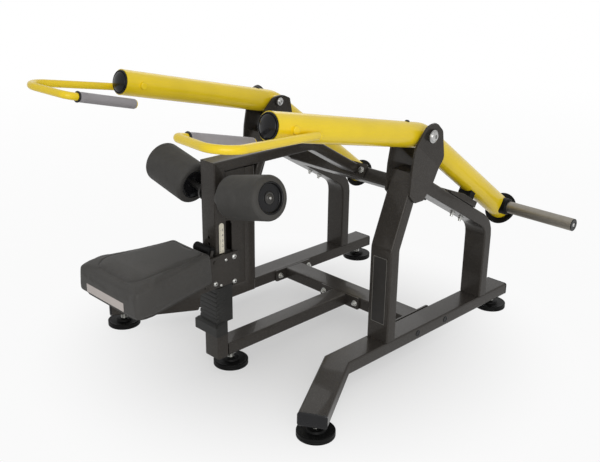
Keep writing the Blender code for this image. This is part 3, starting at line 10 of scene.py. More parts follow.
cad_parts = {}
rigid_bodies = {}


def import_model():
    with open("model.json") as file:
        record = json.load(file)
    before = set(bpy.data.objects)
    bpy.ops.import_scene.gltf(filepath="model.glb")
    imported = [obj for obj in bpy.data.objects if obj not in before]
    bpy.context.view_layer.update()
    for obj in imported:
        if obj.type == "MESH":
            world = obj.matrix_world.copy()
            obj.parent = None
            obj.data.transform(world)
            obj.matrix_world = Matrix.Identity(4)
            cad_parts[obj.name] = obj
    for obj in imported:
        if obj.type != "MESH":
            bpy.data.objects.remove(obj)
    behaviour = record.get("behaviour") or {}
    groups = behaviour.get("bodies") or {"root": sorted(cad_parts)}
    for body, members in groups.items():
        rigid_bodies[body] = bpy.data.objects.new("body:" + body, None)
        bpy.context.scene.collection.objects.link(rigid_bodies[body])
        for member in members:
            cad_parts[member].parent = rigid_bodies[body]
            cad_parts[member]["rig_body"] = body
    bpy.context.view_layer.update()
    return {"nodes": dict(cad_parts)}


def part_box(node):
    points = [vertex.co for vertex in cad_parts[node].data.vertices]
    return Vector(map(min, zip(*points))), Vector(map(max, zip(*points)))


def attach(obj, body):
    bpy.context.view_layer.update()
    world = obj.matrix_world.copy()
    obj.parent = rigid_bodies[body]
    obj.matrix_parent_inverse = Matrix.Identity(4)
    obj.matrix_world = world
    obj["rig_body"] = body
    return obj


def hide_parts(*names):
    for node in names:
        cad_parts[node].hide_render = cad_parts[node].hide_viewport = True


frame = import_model()
nodes = frame["nodes"]
scene = bpy.context.scene


# ---------------------------------------------------------------- Studio
# A pale floor under a white sky, a large low lamp on the right beside the camera, and weaker
# ones above and behind. Points of the machine are measured from the middle of its centre
# foot, which at() turns into the frame's own coordinates.

foot_low, foot_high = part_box("centre_foot")
FOOT_Y = (foot_low.y + foot_high.y) / 2
SIDES = (("right", 1), ("left", -1))
WHITE = (1, 1, 1, 1)
FLOOR_HALF = 14
FLOOR_LEVEL = -0.0005
LAMPS = (("key_lamp", (3.5, -2.6, 1.9), 84.0, 3.6), ("top_lamp", (0.4, 0.2, 4.4), 5.0, 3.0),
         ("back_lamp", (-2.6, 3.0, 2.8), 10.0, 2.2))
LAMP_AIM = Vector((0, 0, 0.5))
AZIMUTH, ELEVATION, ROLL = (math.radians(angle) for angle in (45.165, 20.568, 0.727))
CAMERA_PLACE = (2.231, -1.853, 1.626)
FOCAL_LENGTH = 51.12
SENSOR_WIDTH = 36.0


def at(x, y, z):
    return Vector((x, y + FOOT_Y, z))


def node(tree, kind, links=None, **settings):
    """Adds a shader or geometry node. links gives a value or another socket for each input."""
    made = tree.nodes.new(kind)
    for key, value in settings.items():
        setattr(made, key, value)
    for socket, value in (links or {}).items():
        if isinstance(value, bpy.types.NodeSocket):
            tree.links.new(value, made.inputs[socket])
        else:
            made.inputs[socket].default_value = value
    return made


def calc(tree, operation, *values):
    """Arithmetic on numbers and sockets, as a socket."""
    return node(tree, "ShaderNodeMath", dict(enumerate(values)), operation=operation).outputs[0]


def spread(tree, value, low, high, new_low=0.0, new_high=1.0, curve="LINEAR"):
    """A number carried over from one range to another, as a socket."""
    return node(tree, "ShaderNodeMapRange",
                {"Value": value, "From Min": low, "From Max": high, "To Min": new_low,
                 "To Max": new_high}, interpolation_type=curve).outputs[0]


def direct_rays(tree):
    """1 for the rays that see the floor and the sky as plain white, 0 for those that light."""
    rays = node(tree, "ShaderNodeLightPath").outputs
    through = calc(tree, "MAXIMUM", rays["Is Camera Ray"], rays["Is Transmission Ray"])
    return calc(tree, "MAXIMUM", through, rays["Is Glossy Ray"])


def new_material(name):
    material = bpy.data.materials.new(name)
    material.use_nodes = True
    material.node_tree.nodes.clear()
    return material, material.node_tree


def linked(name, data):
    """A new object in the scene."""
    made = bpy.data.objects.new(name, data)
    scene.collection.objects.link(made)
    return made


def mesh_of(shape, name):
    """A bmesh as a mesh. The bmesh is freed."""
    mesh = bpy.data.meshes.new(name)
    shape.to_mesh(mesh)
    shape.free()
    return mesh


def add_floor():
    """A floor with a painted glow, whiter far off, that shows its real soft shadow near the
    machine.
    """
    material, tree = new_material("studio_floor")
    place = node(tree, "ShaderNodeTexCoord").outputs["Object"]
    away = node(tree, "ShaderNodeVectorMath", {0: place}, operation="LENGTH").outputs["Value"]
    # Painted light: the white glow is mixed in more, and made brighter, with distance from the
    # machine.
    share = calc(tree, "MULTIPLY", direct_rays(tree),
                 spread(tree, away, 0.15, 1.12, 0.43, 1.0, "SMOOTHSTEP"))
    matt = node(tree, "ShaderNodeBsdfDiffuse", {"Color": (0.70, 0.70, 0.70, 1)})
    glow = node(tree, "ShaderNodeEmission",
                {"Color": WHITE, "Strength": spread(tree, away, 1.2, 6.0, 0.955, 1.0)})
    both = node(tree, "ShaderNodeMixShader", {0: share, 1: matt.outputs[0], 2: glow.outputs[0]})
    node(tree, "ShaderNodeOutputMaterial", {"Surface": both.outputs[0]})
    shape = bmesh.new()
    shape.faces.new([shape.verts.new((x * FLOOR_HALF, y * FLOOR_HALF, FLOOR_LEVEL))
                     for x, y in ((-1, -1), (1, -1), (1, 1), (-1, 1))])
    mesh = mesh_of(shape, "studio_floor")
    mesh.materials.append(material)
    floor = linked("studio_floor", mesh)


def light_studio():
    world = bpy.data.worlds.new("studio_sky")
    world.use_nodes = True
    tree = world.node_tree
    tree.nodes.clear()
    soft = node(tree, "ShaderNodeBackground", {"Color": WHITE, "Strength": 0.59})
    white = node(tree, "ShaderNodeBackground", {"Color": WHITE, "Strength": 1.0})
    both = node(tree, "ShaderNodeMixShader", {0: direct_rays(tree), 1: soft.outputs[0],
                                              2: white.outputs[0]})
    node(tree, "ShaderNodeOutputWorld", {"Surface": both.outputs[0]})
    scene.world = world
    for name, place, power, size in LAMPS:
        lamp = bpy.data.lights.new(name, "AREA")
        lamp.shape = "DISK"
        lamp.size = size
        lamp.energy = power
        made = linked(name, lamp)
        made.location = place
        made.rotation_euler = (LAMP_AIM - Vector(place)).to_track_quat("-Z", "Y").to_euler()


def set_camera():
    """Stands the camera where the photograph was taken from."""
    back = Vector((math.sin(AZIMUTH) * math.cos(ELEVATION),
                   -math.cos(AZIMUTH) * math.cos(ELEVATION), math.sin(ELEVATION)))
    level = Vector((math.cos(AZIMUTH), math.sin(AZIMUTH), 0))
    right = level * math.cos(ROLL) + back.cross(level) * math.sin(ROLL)
    up = back.cross(right)
    data = bpy.data.cameras.new("camera")
    data.lens = FOCAL_LENGTH
    data.sensor_width = SENSOR_WIDTH
    camera = linked("camera", data)
    turn = Matrix((right, up, back)).transposed().to_4x4()
    camera.matrix_world = Matrix.Translation(at(*CAMERA_PLACE)) @ turn
    scene.camera = camera


scene.view_settings.view_transform = "Standard"
add_floor()
light_studio()
set_camera()


# ---------------------------------------------------------------- Steel tube of the frame
# Runners, legs, spine, column and beams are rolled box tube, welded up and sprayed with a
# dark anthracite metallic lacquer that is half gloss. Fine flakes show in it, and a faint
# orange peel breaks up the reflections. The heads of the inner cheeks are set lower here.

CHEEK_EDGE = 0.352
CHEEK_FOOT = 0.889
CHEEK_SHARE = 0.50


def effect_group(name, colours, numbers, vectors=()):
    """A shader group from its inputs' labels: the tree, its inputs, the place on the object."""
    tree = bpy.data.node_groups.new(name, "ShaderNodeTree")
    for kind, labels in (("Color", colours), ("Float", numbers), ("Vector", vectors)):
        for label in labels:
            tree.interface.new_socket(label, in_out="INPUT", socket_type="NodeSocket" + kind)
    for label, kind in (("Colour", "Color"), ("Roughness", "Float"), ("Height", "Float")):
        tree.interface.new_socket(label, in_out="OUTPUT", socket_type="NodeSocket" + kind)
    given = node(tree, "NodeGroupInput").outputs
    return tree, given, node(tree, "ShaderNodeTexCoord").outputs["Object"]


def noise(tree, place, scale, detail, roughness=0.5, result="Fac"):
    return node(tree, "ShaderNodeTexNoise", {"Vector": place, "Scale": scale, "Detail": detail,
                                             "Roughness": roughness}).outputs[result]


def mixed(tree, share, first, second, blend="MIX"):
    """Two colours mixed, as a socket."""
    return node(tree, "ShaderNodeMix", {"Factor": share, "A": first, "B": second},
                data_type="RGBA", blend_type=blend).outputs["Result"]


def close_effect(tree, given, colour, height, gloss, low, high):
    """Ends an effect. The roughness shifts from low to high where gloss goes from 0 to 1."""
    rough = calc(tree, "ADD", spread(tree, gloss, 0.0, 1.0, low, high), given["Roughness"])
    node(tree, "NodeGroupOutput", {"Colour": colour, "Roughness": rough, "Height": height})
    return tree


def sprayed_lacquer():
    """Lacquer with flakes, a slow change of tone and an orange peel."""
    tree, given, place = effect_group("sprayed_lacquer", ("Colour", "Flake Colour"),
                                      ("Flake Share", "Roughness", "Peel"))
    flake = node(tree, "ShaderNodeTexVoronoi", {"Vector": place, "Scale": 900.0})
    tone = node(tree, "ShaderNodeSeparateColor", {"Color": flake.outputs["Color"]})
    share = calc(tree, "MULTIPLY", calc(tree, "POWER", tone.outputs[0], 4.0),
                 given["Flake Share"])
    speckled = mixed(tree, share, given["Colour"], given["Flake Colour"])
    drift = spread(tree, noise(tree, place, 5.0, 3.0), 0.3, 0.7, 0.93, 1.06)
    return close_effect(tree, given, mixed(tree, 1.0, speckled, drift, "MULTIPLY"),
                        noise(tree, place, given["Peel"], 1.0), noise(tree, place, 22.0, 4.0),
                        -0.05, 0.05)


def finish_material(name, effect, given, bump, **shader):
    """A material whose colour, roughness and bump come from an effect group."""
    material, tree = new_material(name)
    look = node(tree, "ShaderNodeGroup", node_tree=effect)
    for label, value in given.items():
        look.inputs[label].default_value = (*value, 1) if "Colour" in label else value
    relief = node(tree, "ShaderNodeBump", {"Strength": 1.0, "Distance": bump,
                                           "Height": look.outputs["Height"]})
    surface = node(tree, "ShaderNodeBsdfPrincipled",
                   {"Base Color": look.outputs["Colour"], "Roughness": look.outputs["Roughness"],
                    "Normal": relief.outputs[0]})
    for label, value in shader.items():
        surface.inputs[label.replace("_", " ")].default_value = value
    node(tree, "ShaderNodeOutputMaterial", {"Surface": surface.outputs[0]})
    return material


def mark_sharp(shape, limit):
    """Smooths every face, and keeps the edges that turn by more than limit degrees."""
    for face in shape.faces:
        face.smooth = True
    for edge in shape.edges:
        edge.smooth = len(edge.link_faces) == 2 and edge.calc_face_angle() < math.radians(limit)


def add_piece(name, shape, material, body, replaces=(), sharp=38.0, bevel=0.0):
    """Makes a bmesh a finished piece with the given material, which rides on a body."""
    mark_sharp(shape, sharp)
    mesh = mesh_of(shape, name)
    mesh.materials.append(material)
    piece = linked(name, mesh)
    if bevel:
        edge = piece.modifiers.new("broken_edges", "BEVEL")
        edge.width = bevel
        edge.segments = 2
        edge.limit_method = "ANGLE"
        edge.angle_limit = math.radians(sharp)
    weigh = piece.modifiers.new("even_shading", "WEIGHTED_NORMAL")
    weigh.keep_sharp = True
    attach(piece, body)
    if replaces:
        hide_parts(*replaces)
    return piece


def node_shape(name):
    """A CAD node's mesh with its loose triangles joined."""
    shape = bmesh.new()
    shape.from_mesh(nodes[name].data)
    bmesh.ops.remove_doubles(shape, verts=shape.verts, dist=0.00002)
    bmesh.ops.dissolve_limit(shape, angle_limit=math.radians(0.4), verts=shape.verts,
                             edges=shape.edges)
    return shape


def dress(name, ending, material, sharp=38.0, bevel=0.0):
    """A copy of a CAD node, named by its name and an ending, with its edges broken when a bevel
    is given.
    """
    return add_piece(f"{name}_{ending}", node_shape(name), material, nodes[name]["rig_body"],
                     [name], sharp, bevel)


lacquer = sprayed_lacquer()
anthracite = finish_material(
    "anthracite_lacquer", lacquer,
    {"Colour": (0.034, 0.030, 0.026), "Flake Colour": (0.16, 0.15, 0.14),
     "Flake Share": 0.35, "Roughness": 0.30, "Peel": 240.0},
    0.00005, Metallic=0.20, Specular_IOR_Level=0.10, Coat_Weight=0.14, Coat_Roughness=0.05)

for name in ("right_runner", "left_runner", "right_front_leg", "left_front_leg",
             "right_rear_leg", "left_rear_leg", "front_post", "beam_strut", "upper_cross_tube"):
    dress(name, "tube", anthracite, 46.0)
for name in ("lower_cross_beam", "lower_spine", "top_beam", "rear_post"):
    dress(name, "welded", anthracite, 46.0)
for side, sign in SIDES:
    plates = dress(side + "_pivot_bracket", "plates", anthracite, 8.0)
    for vert in plates.data.vertices:
        if vert.co.x * sign < CHEEK_EDGE and vert.co.z > CHEEK_FOOT:
            vert.co.z = CHEEK_FOOT + (vert.co.z - CHEEK_FOOT) * CHEEK_SHARE
for side, sign in SIDES:
    dress(side + "_stop_bracket", "plate", anthracite, bevel=0.0012)


# ---------------------------------------------------------------- End caps of the runners
# Black injection-moulded caps pushed into the four open ends of the runners, each with a
# rounded rim, a shallow field inside it and the fine grain of a spark-eroded mould.

CAP_FLANGE = 0.0075
CAP_PROUD = 0.0009
CAP_ROUND = 0.0050
CAP_RIM = 0.0045
CAP_SLOPE, CAP_SUNK = 0.0006, 0.0009


def moulded_skin():
    """Moulded plastic or rubber: a fine even grain, slight cloudiness and rubbed patches."""
    tree, given, place = effect_group("moulded_skin", ("Colour", "Worn Colour"),
                                      ("Worn Share", "Roughness", "Grain"))
    cloud = noise(tree, place, 14.0, 5.0, 0.6)
    share = calc(tree, "MULTIPLY", spread(tree, cloud, 0.42, 0.72), given["Worn Share"])
    return close_effect(tree, given, mixed(tree, share, given["Colour"], given["Worn Colour"]),
                        noise(tree, place, given["Grain"], 2.0), cloud, -0.08, 0.08)


def moulded_material(name, colour, worn, share, roughness, grain, bump, specular=0.5):
    return finish_material(name, moulded, {"Colour": colour, "Worn Colour": worn,
                                           "Worn Share": share, "Roughness": roughness,
                                           "Grain": grain}, bump, Specular_IOR_Level=specular)


moulded = moulded_skin()
black_plastic = moulded_material("black_moulded_plastic", (0.008, 0.008, 0.009),
                                 (0.020, 0.020, 0.021), 0.4, 0.27, 1100.0, 0.00003, 0.25)
for name in ("right_front_cap", "right_rear_cap", "left_front_cap", "left_rear_cap"):
    shape = node_shape(name)
    outside = max(shape.faces, key=lambda face: face.calc_area())
    middle, way = outside.calc_center_median(), outside.normal.copy()
    for vert in shape.verts:
        off = vert.co - middle
        if off.dot(way) > -CAP_FLANGE:
            vert.co += (off - way * off.dot(way)).normalized() * CAP_PROUD
    bmesh.ops.bevel(shape, geom=list(outside.edges), offset=CAP_ROUND, offset_type="OFFSET",
                    segments=4, profile=0.5, affect="EDGES", clamp_overlap=False)
    outside = max(shape.faces, key=lambda face: face.calc_area())
    bmesh.ops.inset_region(shape, faces=[outside], thickness=CAP_RIM, depth=0.0)
    bmesh.ops.inset_region(shape, faces=[outside], thickness=CAP_SLOPE, depth=-CAP_SUNK)
    add_piece(name + "_moulding", shape, black_plastic, "frame", [name], 30.0)


# ---------------------------------------------------------------- Feet
# Five black rubber discs with a rolled lip, a low hub and a moulded ring, screwed up into the
# frame on a threaded stud that is held by a jam nut under the tube.

UP = Vector((0, 0, 1))
ACROSS = Vector((1, 0, 0))
FOOT_RADIUS = 0.0665
STUD_RADIUS = 0.0125
STUD_ROOT = 0.027
STUD_PITCH = 0.002


def spokes(axis, count):
    """Even directions round an axis and square to it, as a wheel's spokes have."""
    axis = axis.normalized()
    across = axis.cross(UP if abs(axis.z) < 0.9 else ACROSS).normalized()
    over = axis.cross(across)
    return [across * math.cos(i * math.tau / count) + over * math.sin(i * math.tau / count)
            for i in range(count)]


def add_turned(shape, origin, axis, profile, count=64):
    """Turns a profile of (radius, distance along the axis) round the axis."""
    ways = spokes(axis, count)
    axis = axis.normalized()
    rings = []
    for radius, along in profile:
        centre = origin + axis * along
        if radius == 0:
            rings.append([shape.verts.new(centre)])
            continue
        rings.append([shape.verts.new(centre + way * radius) for way in ways])
    for low, high in zip(rings, rings[1:]):
        for i in range(count):
            j = (i + 1) % count
            corners = list(dict.fromkeys([low[i % len(low)], low[j % len(low)],
                                          high[j % len(high)], high[i % len(high)]]))
            if len(corners) > 2:
                shape.faces.new(corners)


def closed(shape):
    bmesh.ops.remove_doubles(shape, verts=shape.verts, dist=0.00001)
    bmesh.ops.recalc_face_normals(shape, faces=shape.faces)
    return shape


def turned(origin, axis, profile, count=64):
    """A new closed bmesh, turned round the axis."""
    shape = bmesh.new()
    add_turned(shape, origin, axis, profile, count)
    return closed(shape)


def rounded(profile, radius=0.0015, steps=3):
    """A turned profile with the corners between its ends rounded."""
    points = [Vector((*point, 0)) for point in profile]
    result = [points[0]]
    for before, here, after in zip(points, points[1:], points[2:]):
        reach = min(radius, (here - before).length * 0.45, (after - here).length * 0.45)
        start = here + (before - here).normalized() * reach
        end = here + (after - here).normalized() * reach
        for i in range(steps + 1):
            t = i / steps
            result.append(start * (1 - t) ** 2 + here * 2 * t * (1 - t) + end * t * t)
    result.append(points[-1])
    return [(max(point.x, 0.0), point.y) for point in result]


def growth_group(name, **labels):
    """A geometry tree from its inputs' labels by kind: the tree and its inputs."""
    tree = bpy.data.node_groups.new(name, "GeometryNodeTree")
    for kind, group in (*labels.items(), ("Material", ("Material",))):
        for label in group:
            tree.interface.new_socket(label, in_out="INPUT", socket_type="NodeSocket" + kind)
    tree.interface.new_socket("Geometry", in_out="OUTPUT", socket_type="NodeSocketGeometry")
    return tree, node(tree, "NodeGroupInput").outputs


def close_growth(tree, given, geometry):
    real = node(tree, "GeometryNodeRealizeInstances", {"Geometry": geometry})
    painted = node(tree, "GeometryNodeSetMaterial", {"Geometry": real.outputs[0],
                                                     "Material": given["Material"]})
    node(tree, "NodeGroupOutput", {"Geometry": painted.outputs[0]})
    return tree


def point_line(tree, given):
    line = node(tree, "GeometryNodeMeshLine", {"Count": given["Count"],
                                               "Start Location": given["Start"],
                                               "Offset": given["Step"]})
    return line.outputs[0]


def raised(tree, solid, lift, sizes):
    """A primitive whose middle is lifted along Z, as a socket."""
    made = node(tree, "GeometryNodeMesh" + solid, sizes)
    move = node(tree, "ShaderNodeCombineXYZ", {"Z": lift})
    return node(tree, "GeometryNodeTransform", {"Geometry": made.outputs["Mesh"],
                                                "Translation": move.outputs[0]}).outputs[0]


def bolt_rows():
    """Hexagon heads on a washer, repeated along a line. The heads point along local Z."""
    tree, given = growth_group(
        "bolt_rows", Int=("Count",), Vector=("Start", "Step", "Turn"),
        Float=("Head Radius", "Head Height", "Washer Radius", "Washer Height", "Crown",
               "Thread Radius", "Thread Length"))
    washer, radius = given["Washer Height"], given["Head Radius"]
    flank = calc(tree, "MULTIPLY", given["Head Height"], 0.78)
    parts = (
        raised(tree, "Cylinder", calc(tree, "MULTIPLY", washer, 0.5),
               {"Vertices": 28, "Radius": given["Washer Radius"], "Depth": washer}),
        raised(tree, "Cylinder", calc(tree, "ADD", calc(tree, "MULTIPLY", flank, 0.5), washer),
               {"Vertices": 6, "Radius": radius, "Depth": flank}),
        raised(tree, "Cone", calc(tree, "ADD", flank, washer),
               {"Vertices": 28, "Radius Top": calc(tree, "MULTIPLY", radius, given["Crown"]),
                "Radius Bottom": calc(tree, "MULTIPLY", radius, 0.87),
                "Depth": calc(tree, "SUBTRACT", given["Head Height"], flank)}),
        raised(tree, "Cylinder", calc(tree, "MULTIPLY", given["Thread Length"], 0.5),
               {"Vertices": 20, "Radius": given["Thread Radius"],
                "Depth": given["Thread Length"]}))
    bolt = node(tree, "GeometryNodeJoinGeometry")
    for part in parts:
        tree.links.new(part, bolt.inputs[0])
    placed = node(tree, "GeometryNodeInstanceOnPoints",
                  {"Points": point_line(tree, given), "Instance": bolt.outputs[0],
                   "Rotation": given["Turn"]})
    return close_growth(tree, given, placed.outputs[0])


def take_mesh(shape, mesh):
    """Adds a mesh to a bmesh and deletes it."""
    shape.from_mesh(mesh)
    bpy.data.meshes.remove(mesh)


def take_shape(shape, other):
    """Adds another bmesh to a bmesh and frees it."""
    take_mesh(shape, mesh_of(other, "taken"))


def evaluated_mesh(thing):
    """An object's mesh after its modifiers, as a plain mesh."""
    ready = thing.evaluated_get(bpy.context.evaluated_depsgraph_get())
    return bpy.data.meshes.new_from_object(ready)


def grown(tree, values, start=None):
    """Runs a geometry tree with the given inputs and returns its result as a plain bmesh."""
    seed = linked("seed", start or bpy.data.meshes.new("seed"))
    step = seed.modifiers.new("grow", "NODES")
    step.node_group = tree
    for item in tree.interface.items_tree:
        if item.item_type == "SOCKET" and item.in_out == "INPUT" and item.name in values:
            step[item.identifier] = values[item.name]
    mesh = evaluated_mesh(seed)
    bpy.data.objects.remove(seed)
    shape = bmesh.new()
    take_mesh(shape, mesh)
    return shape


def add_bolts(name, rows, body, head, washer, crown, thread=(0.005, 0.004)):
    """One piece of zinc-plated bolts. Each row is (start, step, count, direction), and the
    head, washer and thread are (radius, height)."""
    whole = bmesh.new()
    for start, step, count, way in rows:
        take_shape(whole, grown(bolts, {
            "Start": start, "Step": step, "Count": count,
            "Turn": way.to_track_quat("Z", "Y").to_euler(), "Material": zinc,
            "Head Radius": head[0], "Head Height": head[1], "Washer Radius": washer[0],
            "Washer Height": washer[1], "Crown": crown, "Thread Radius": thread[0],
            "Thread Length": thread[1]}))
    return add_piece(name, whole, zinc, body, sharp=20.0, bevel=0.0004)


def stretched(tree, place, by):
    return node(tree, "ShaderNodeVectorMath", {0: place, 1: by}, operation="MULTIPLY").outputs[0]


def turned_metal():
    """Bare or plated steel: fine lines round the axis, faint stains and rubbed spots."""
    tree, given, place = effect_group("turned_metal", ("Colour", "Stain Colour"),
                                      ("Stain Share", "Roughness"), ("Lines",))
    lines = noise(tree, stretched(tree, place, given["Lines"]), 1.0, 3.0)
    patch = spread(tree, noise(tree, place, 30.0, 5.0), 0.45, 0.75)
    share = calc(tree, "MULTIPLY", patch, given["Stain Share"])
    return close_effect(tree, given, mixed(tree, share, given["Colour"], given["Stain Colour"]),
                        lines, lines, -0.09, 0.09)


def metal_material(name, colour, stain, share, roughness, lines, bump, metallic=1.0):
    return finish_material(name, metal, {"Colour": colour, "Stain Colour": stain,
                                         "Stain Share": share, "Roughness": roughness,
                                         "Lines": lines}, bump, Metallic=metallic)


bolts = bolt_rows()
metal = turned_metal()
rubber = moulded_material("black_rubber", (0.004, 0.004, 0.004), (0.009, 0.009, 0.0085), 0.4,
                          0.46, 600.0, 0.00006, 0.10)
zinc = metal_material("zinc_plate", (0.55, 0.55, 0.53), (0.30, 0.29, 0.26), 0.4, 0.28,
                      (900.0,) * 3, 0.00002)
for name in ("centre_foot", "right_front_foot", "right_rear_foot", "left_front_foot",
             "left_rear_foot"):
    low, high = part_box(name)
    centre = Vector(((low.x + high.x) / 2, (low.y + high.y) / 2, 0))
    disc = rounded([
        (0, 0.0), (FOOT_RADIUS, 0.0), (FOOT_RADIUS, 0.0085), (FOOT_RADIUS - 0.0015, 0.0095),
        (FOOT_RADIUS - 0.0015, 0.0115), (FOOT_RADIUS, 0.0125), (FOOT_RADIUS, 0.0185),
        (FOOT_RADIUS - 0.004, 0.0205), (FOOT_RADIUS - 0.010, 0.0190), (0.034, 0.0195),
        (0.030, 0.0270), (STUD_RADIUS + 0.009, 0.0275), (STUD_RADIUS + 0.002, 0.0275),
        (0, 0.0275)], 0.0012)
    add_piece(name + "_disc", turned(centre, UP, disc, 72), rubber, "frame",
              [name], 30.0)
    thread = [(0, STUD_ROOT)]
    for i in range(int((high.z - STUD_ROOT) / STUD_PITCH)):
        z = STUD_ROOT + STUD_PITCH * i
        thread += [(STUD_RADIUS - 0.0012, z), (STUD_RADIUS, z + STUD_PITCH / 2)]
    thread += [(STUD_RADIUS - 0.0012, high.z), (0, high.z)]
    add_piece(name + "_stud", turned(centre, UP, thread, 32), zinc, "frame", sharp=80.0)
    add_bolts(name + "_jam_nut", [(centre + UP * (high.z - 0.0095), Vector(), 1, UP)], "frame",
              (0.0205, 0.0075), (0.024, 0.0018), 0.86)


# ---------------------------------------------------------------- Column sleeve
# The sleeve round the foot of the column is a black nylon moulding with ribs across its front
# and a stepped flange, which the seat carriage comes down on. It is screwed to the post.

nylon = moulded_material("sleeve_nylon", (0.016, 0.016, 0.015), (0.034, 0.033, 0.031), 0.45,
                         0.46, 700.0, 0.00005, 0.25)
dress("guide_sleeve", "moulding", nylon, 30.0, 0.0007)


# ---------------------------------------------------------------- Height scale
# A cream enamelled strip with a round top, pinned to the side of the post beside the column's
# slot. Fine graduations run up it, a longer one at each seat stop, with its plain number.

SCALE_LOW, SCALE_HIGH = 0.483, 0.596
SCALE_Y, SCALE_HALF = -0.0665, 0.0109
SCALE_BACK, SCALE_FACE = 0.0403, 0.0417
PRINT_FACE = SCALE_FACE + 0.00005


def scale_marks():
    """Graduations up a scale, with every few of them longer. They start at the origin's Y."""
    tree, given = growth_group("scale_marks", Int=("Count", "Long Every"), Float=("Long Share",),
                               Vector=("Start", "Step", "Mark"))
    mark = node(tree, "GeometryNodeMeshCube", {"Size": given["Mark"]})
    moved = node(tree, "GeometryNodeTransform",
                 {"Geometry": mark.outputs["Mesh"],
                  "Translation": stretched(tree, given["Mark"], (0, 0.5, 0))})
    number = node(tree, "GeometryNodeInputIndex").outputs[0]
    rest = calc(tree, "MODULO", number, given["Long Every"])
    longer = calc(tree, "LESS_THAN", rest, 0.5)
    extra = calc(tree, "SUBTRACT", given["Long Share"], 1.0)
    stretch = calc(tree, "MULTIPLY_ADD", longer, extra, 1.0)
    sizes = node(tree, "ShaderNodeCombineXYZ", {"X": 1.0, "Y": stretch, "Z": 1.0})
    placed = node(tree, "GeometryNodeInstanceOnPoints",
                  {"Points": point_line(tree, given), "Instance": moved.outputs[0],
                   "Scale": sizes.outputs[0]})
    return close_growth(tree, given, placed.outputs[0])


def bridge(shape, rings):
    """Faces between neighbouring rings of as many points each."""
    for low, high in zip(rings, rings[1:]):
        for i in range(len(low)):
            j = (i + 1) % len(low)
            shape.faces.new((low[i], low[j], high[j], high[i]))


def sheet(outline, low, high, place):
    """A flat plate between two levels. place turns an outline point and a level into space."""
    shape = bmesh.new()
    rings = [[shape.verts.new(place(u, v, level)) for u, v in outline] for level in (low, high)]
    bridge(shape, rings)
    shape.faces.new(rings[0])
    shape.faces.new(rings[1])
    return closed(shape)


def arc(cx, cy, radius, start, end, steps):
    """Points of an arc in the plane, in degrees."""
    angles = [math.radians(start + (end - start) * i / steps) for i in range(steps + 1)]
    return [(cx + radius * math.cos(angle), cy + radius * math.sin(angle)) for angle in angles]


def beside(y, z, x):
    return at(x, y, z)


def numeral(text, size, middle, matrix):
    """A plain printed number as a thin mesh."""
    curve = bpy.data.curves.new("numeral", "FONT")
    curve.body = text
    curve.size = size
    curve.extrude = 0.00005
    curve.align_x = "CENTER"
    curve.align_y = "CENTER"
    made = linked("numeral", curve)
    mesh = evaluated_mesh(made)
    bpy.data.objects.remove(made)
    mesh.transform(Matrix.Translation(middle) @ matrix)
    return mesh


enamel = moulded_material("scale_enamel", (0.70, 0.66, 0.54), (0.52, 0.48, 0.37), 0.35, 0.34,
                          500.0, 0.00002)
ink = moulded_material("printing_ink", (0.03, 0.03, 0.03), (0.12, 0.11, 0.10), 0.5, 0.5, 500.0,
                       0.00001)
outline = ([(SCALE_Y - SCALE_HALF, SCALE_LOW), (SCALE_Y + SCALE_HALF, SCALE_LOW)]
           + arc(SCALE_Y, SCALE_HIGH - SCALE_HALF, SCALE_HALF, 0, 180, 16))
add_piece("height_scale_strip", sheet(outline, SCALE_BACK, SCALE_FACE, beside), enamel, "frame",
          ["height_scale"], 30.0, 0.0003)
marks = grown(scale_marks(), {
    "Count": 24, "Start": at(PRINT_FACE, SCALE_Y - SCALE_HALF + 0.0012, 0.489),
    "Step": UP * 0.004, "Long Every": 5, "Mark": Vector((0.0001, 0.0044, 0.0009)),
    "Long Share": 1.7, "Material": ink})
upright = Matrix(((0, 0, 1), (1, 0, 0), (0, 1, 0))).to_4x4()
for i in range(5):
    take_mesh(marks, numeral(str(i + 1), 0.0125,
                             at(PRINT_FACE, SCALE_Y + 0.0045, 0.4895 + 0.020 * i), upright))
add_piece("height_scale_print", marks, ink, "frame")


# ---------------------------------------------------------------- Pivot bolts
# The arms hang on bolts of 24 mm through the bosses of the cheeks. Their chromed button heads
# have a hexagon socket and sit on a turned washer.

PIVOT = (0.396, 0.555, 0.885)
BOSS_FACE = 0.0783
BOLT_RADIUS = 0.012
DOME_TURN = math.pi / 2 * 0.80


def add_button_head(shape, origin, axis, radius, height, key, washer=0.0):
    """A domed head with a hexagon socket, on an optional washer that is wider than it."""
    count = 48
    ways = spokes(axis, count)
    axis = axis.normalized()
    if washer:
        wide = radius * 1.16
        add_turned(shape, origin, axis,
                   rounded([(0, 0), (wide, 0), (wide, washer), (0, washer)], 0.0006), count)
    rings = [(radius * (1 - 0.10 * share ** 3), height * 0.28 * share)
             for share in (0.0, 0.35, 0.7, 1.0)]
    for i in range(1, 9):
        turn = i / 9 * DOME_TURN
        rise = math.sin(turn) / math.sin(DOME_TURN)
        rings.append((radius * 0.90 * math.cos(turn), height * (0.28 + 0.72 * rise)))
    rings = [pair for pair in rings if pair[0] > key * 1.15]
    rings += [(key * 1.08, rings[-1][1] + 0.0002), (-key, rings[-1][1]),
              (-key, rings[-1][1] - height * 0.45)]
    made = []
    for wide, along in rings:
        centre = origin + axis * (along + washer)
        ring = []
        for i, way in enumerate(ways):
            reach = wide
            if wide < 0:
                local = (i * math.tau / count + math.pi / 6) % (math.pi / 3) - math.pi / 6
                reach = -wide * math.cos(math.pi / 6) / math.cos(local)
            ring.append(shape.verts.new(centre + way * reach))
        made.append(ring)
    bridge(shape, made)
    shape.faces.new(made[0])
    shape.faces.new(made[-1])


def button_head(*sizes):
    shape = bmesh.new()
    add_button_head(shape, *sizes)
    return closed(shape)


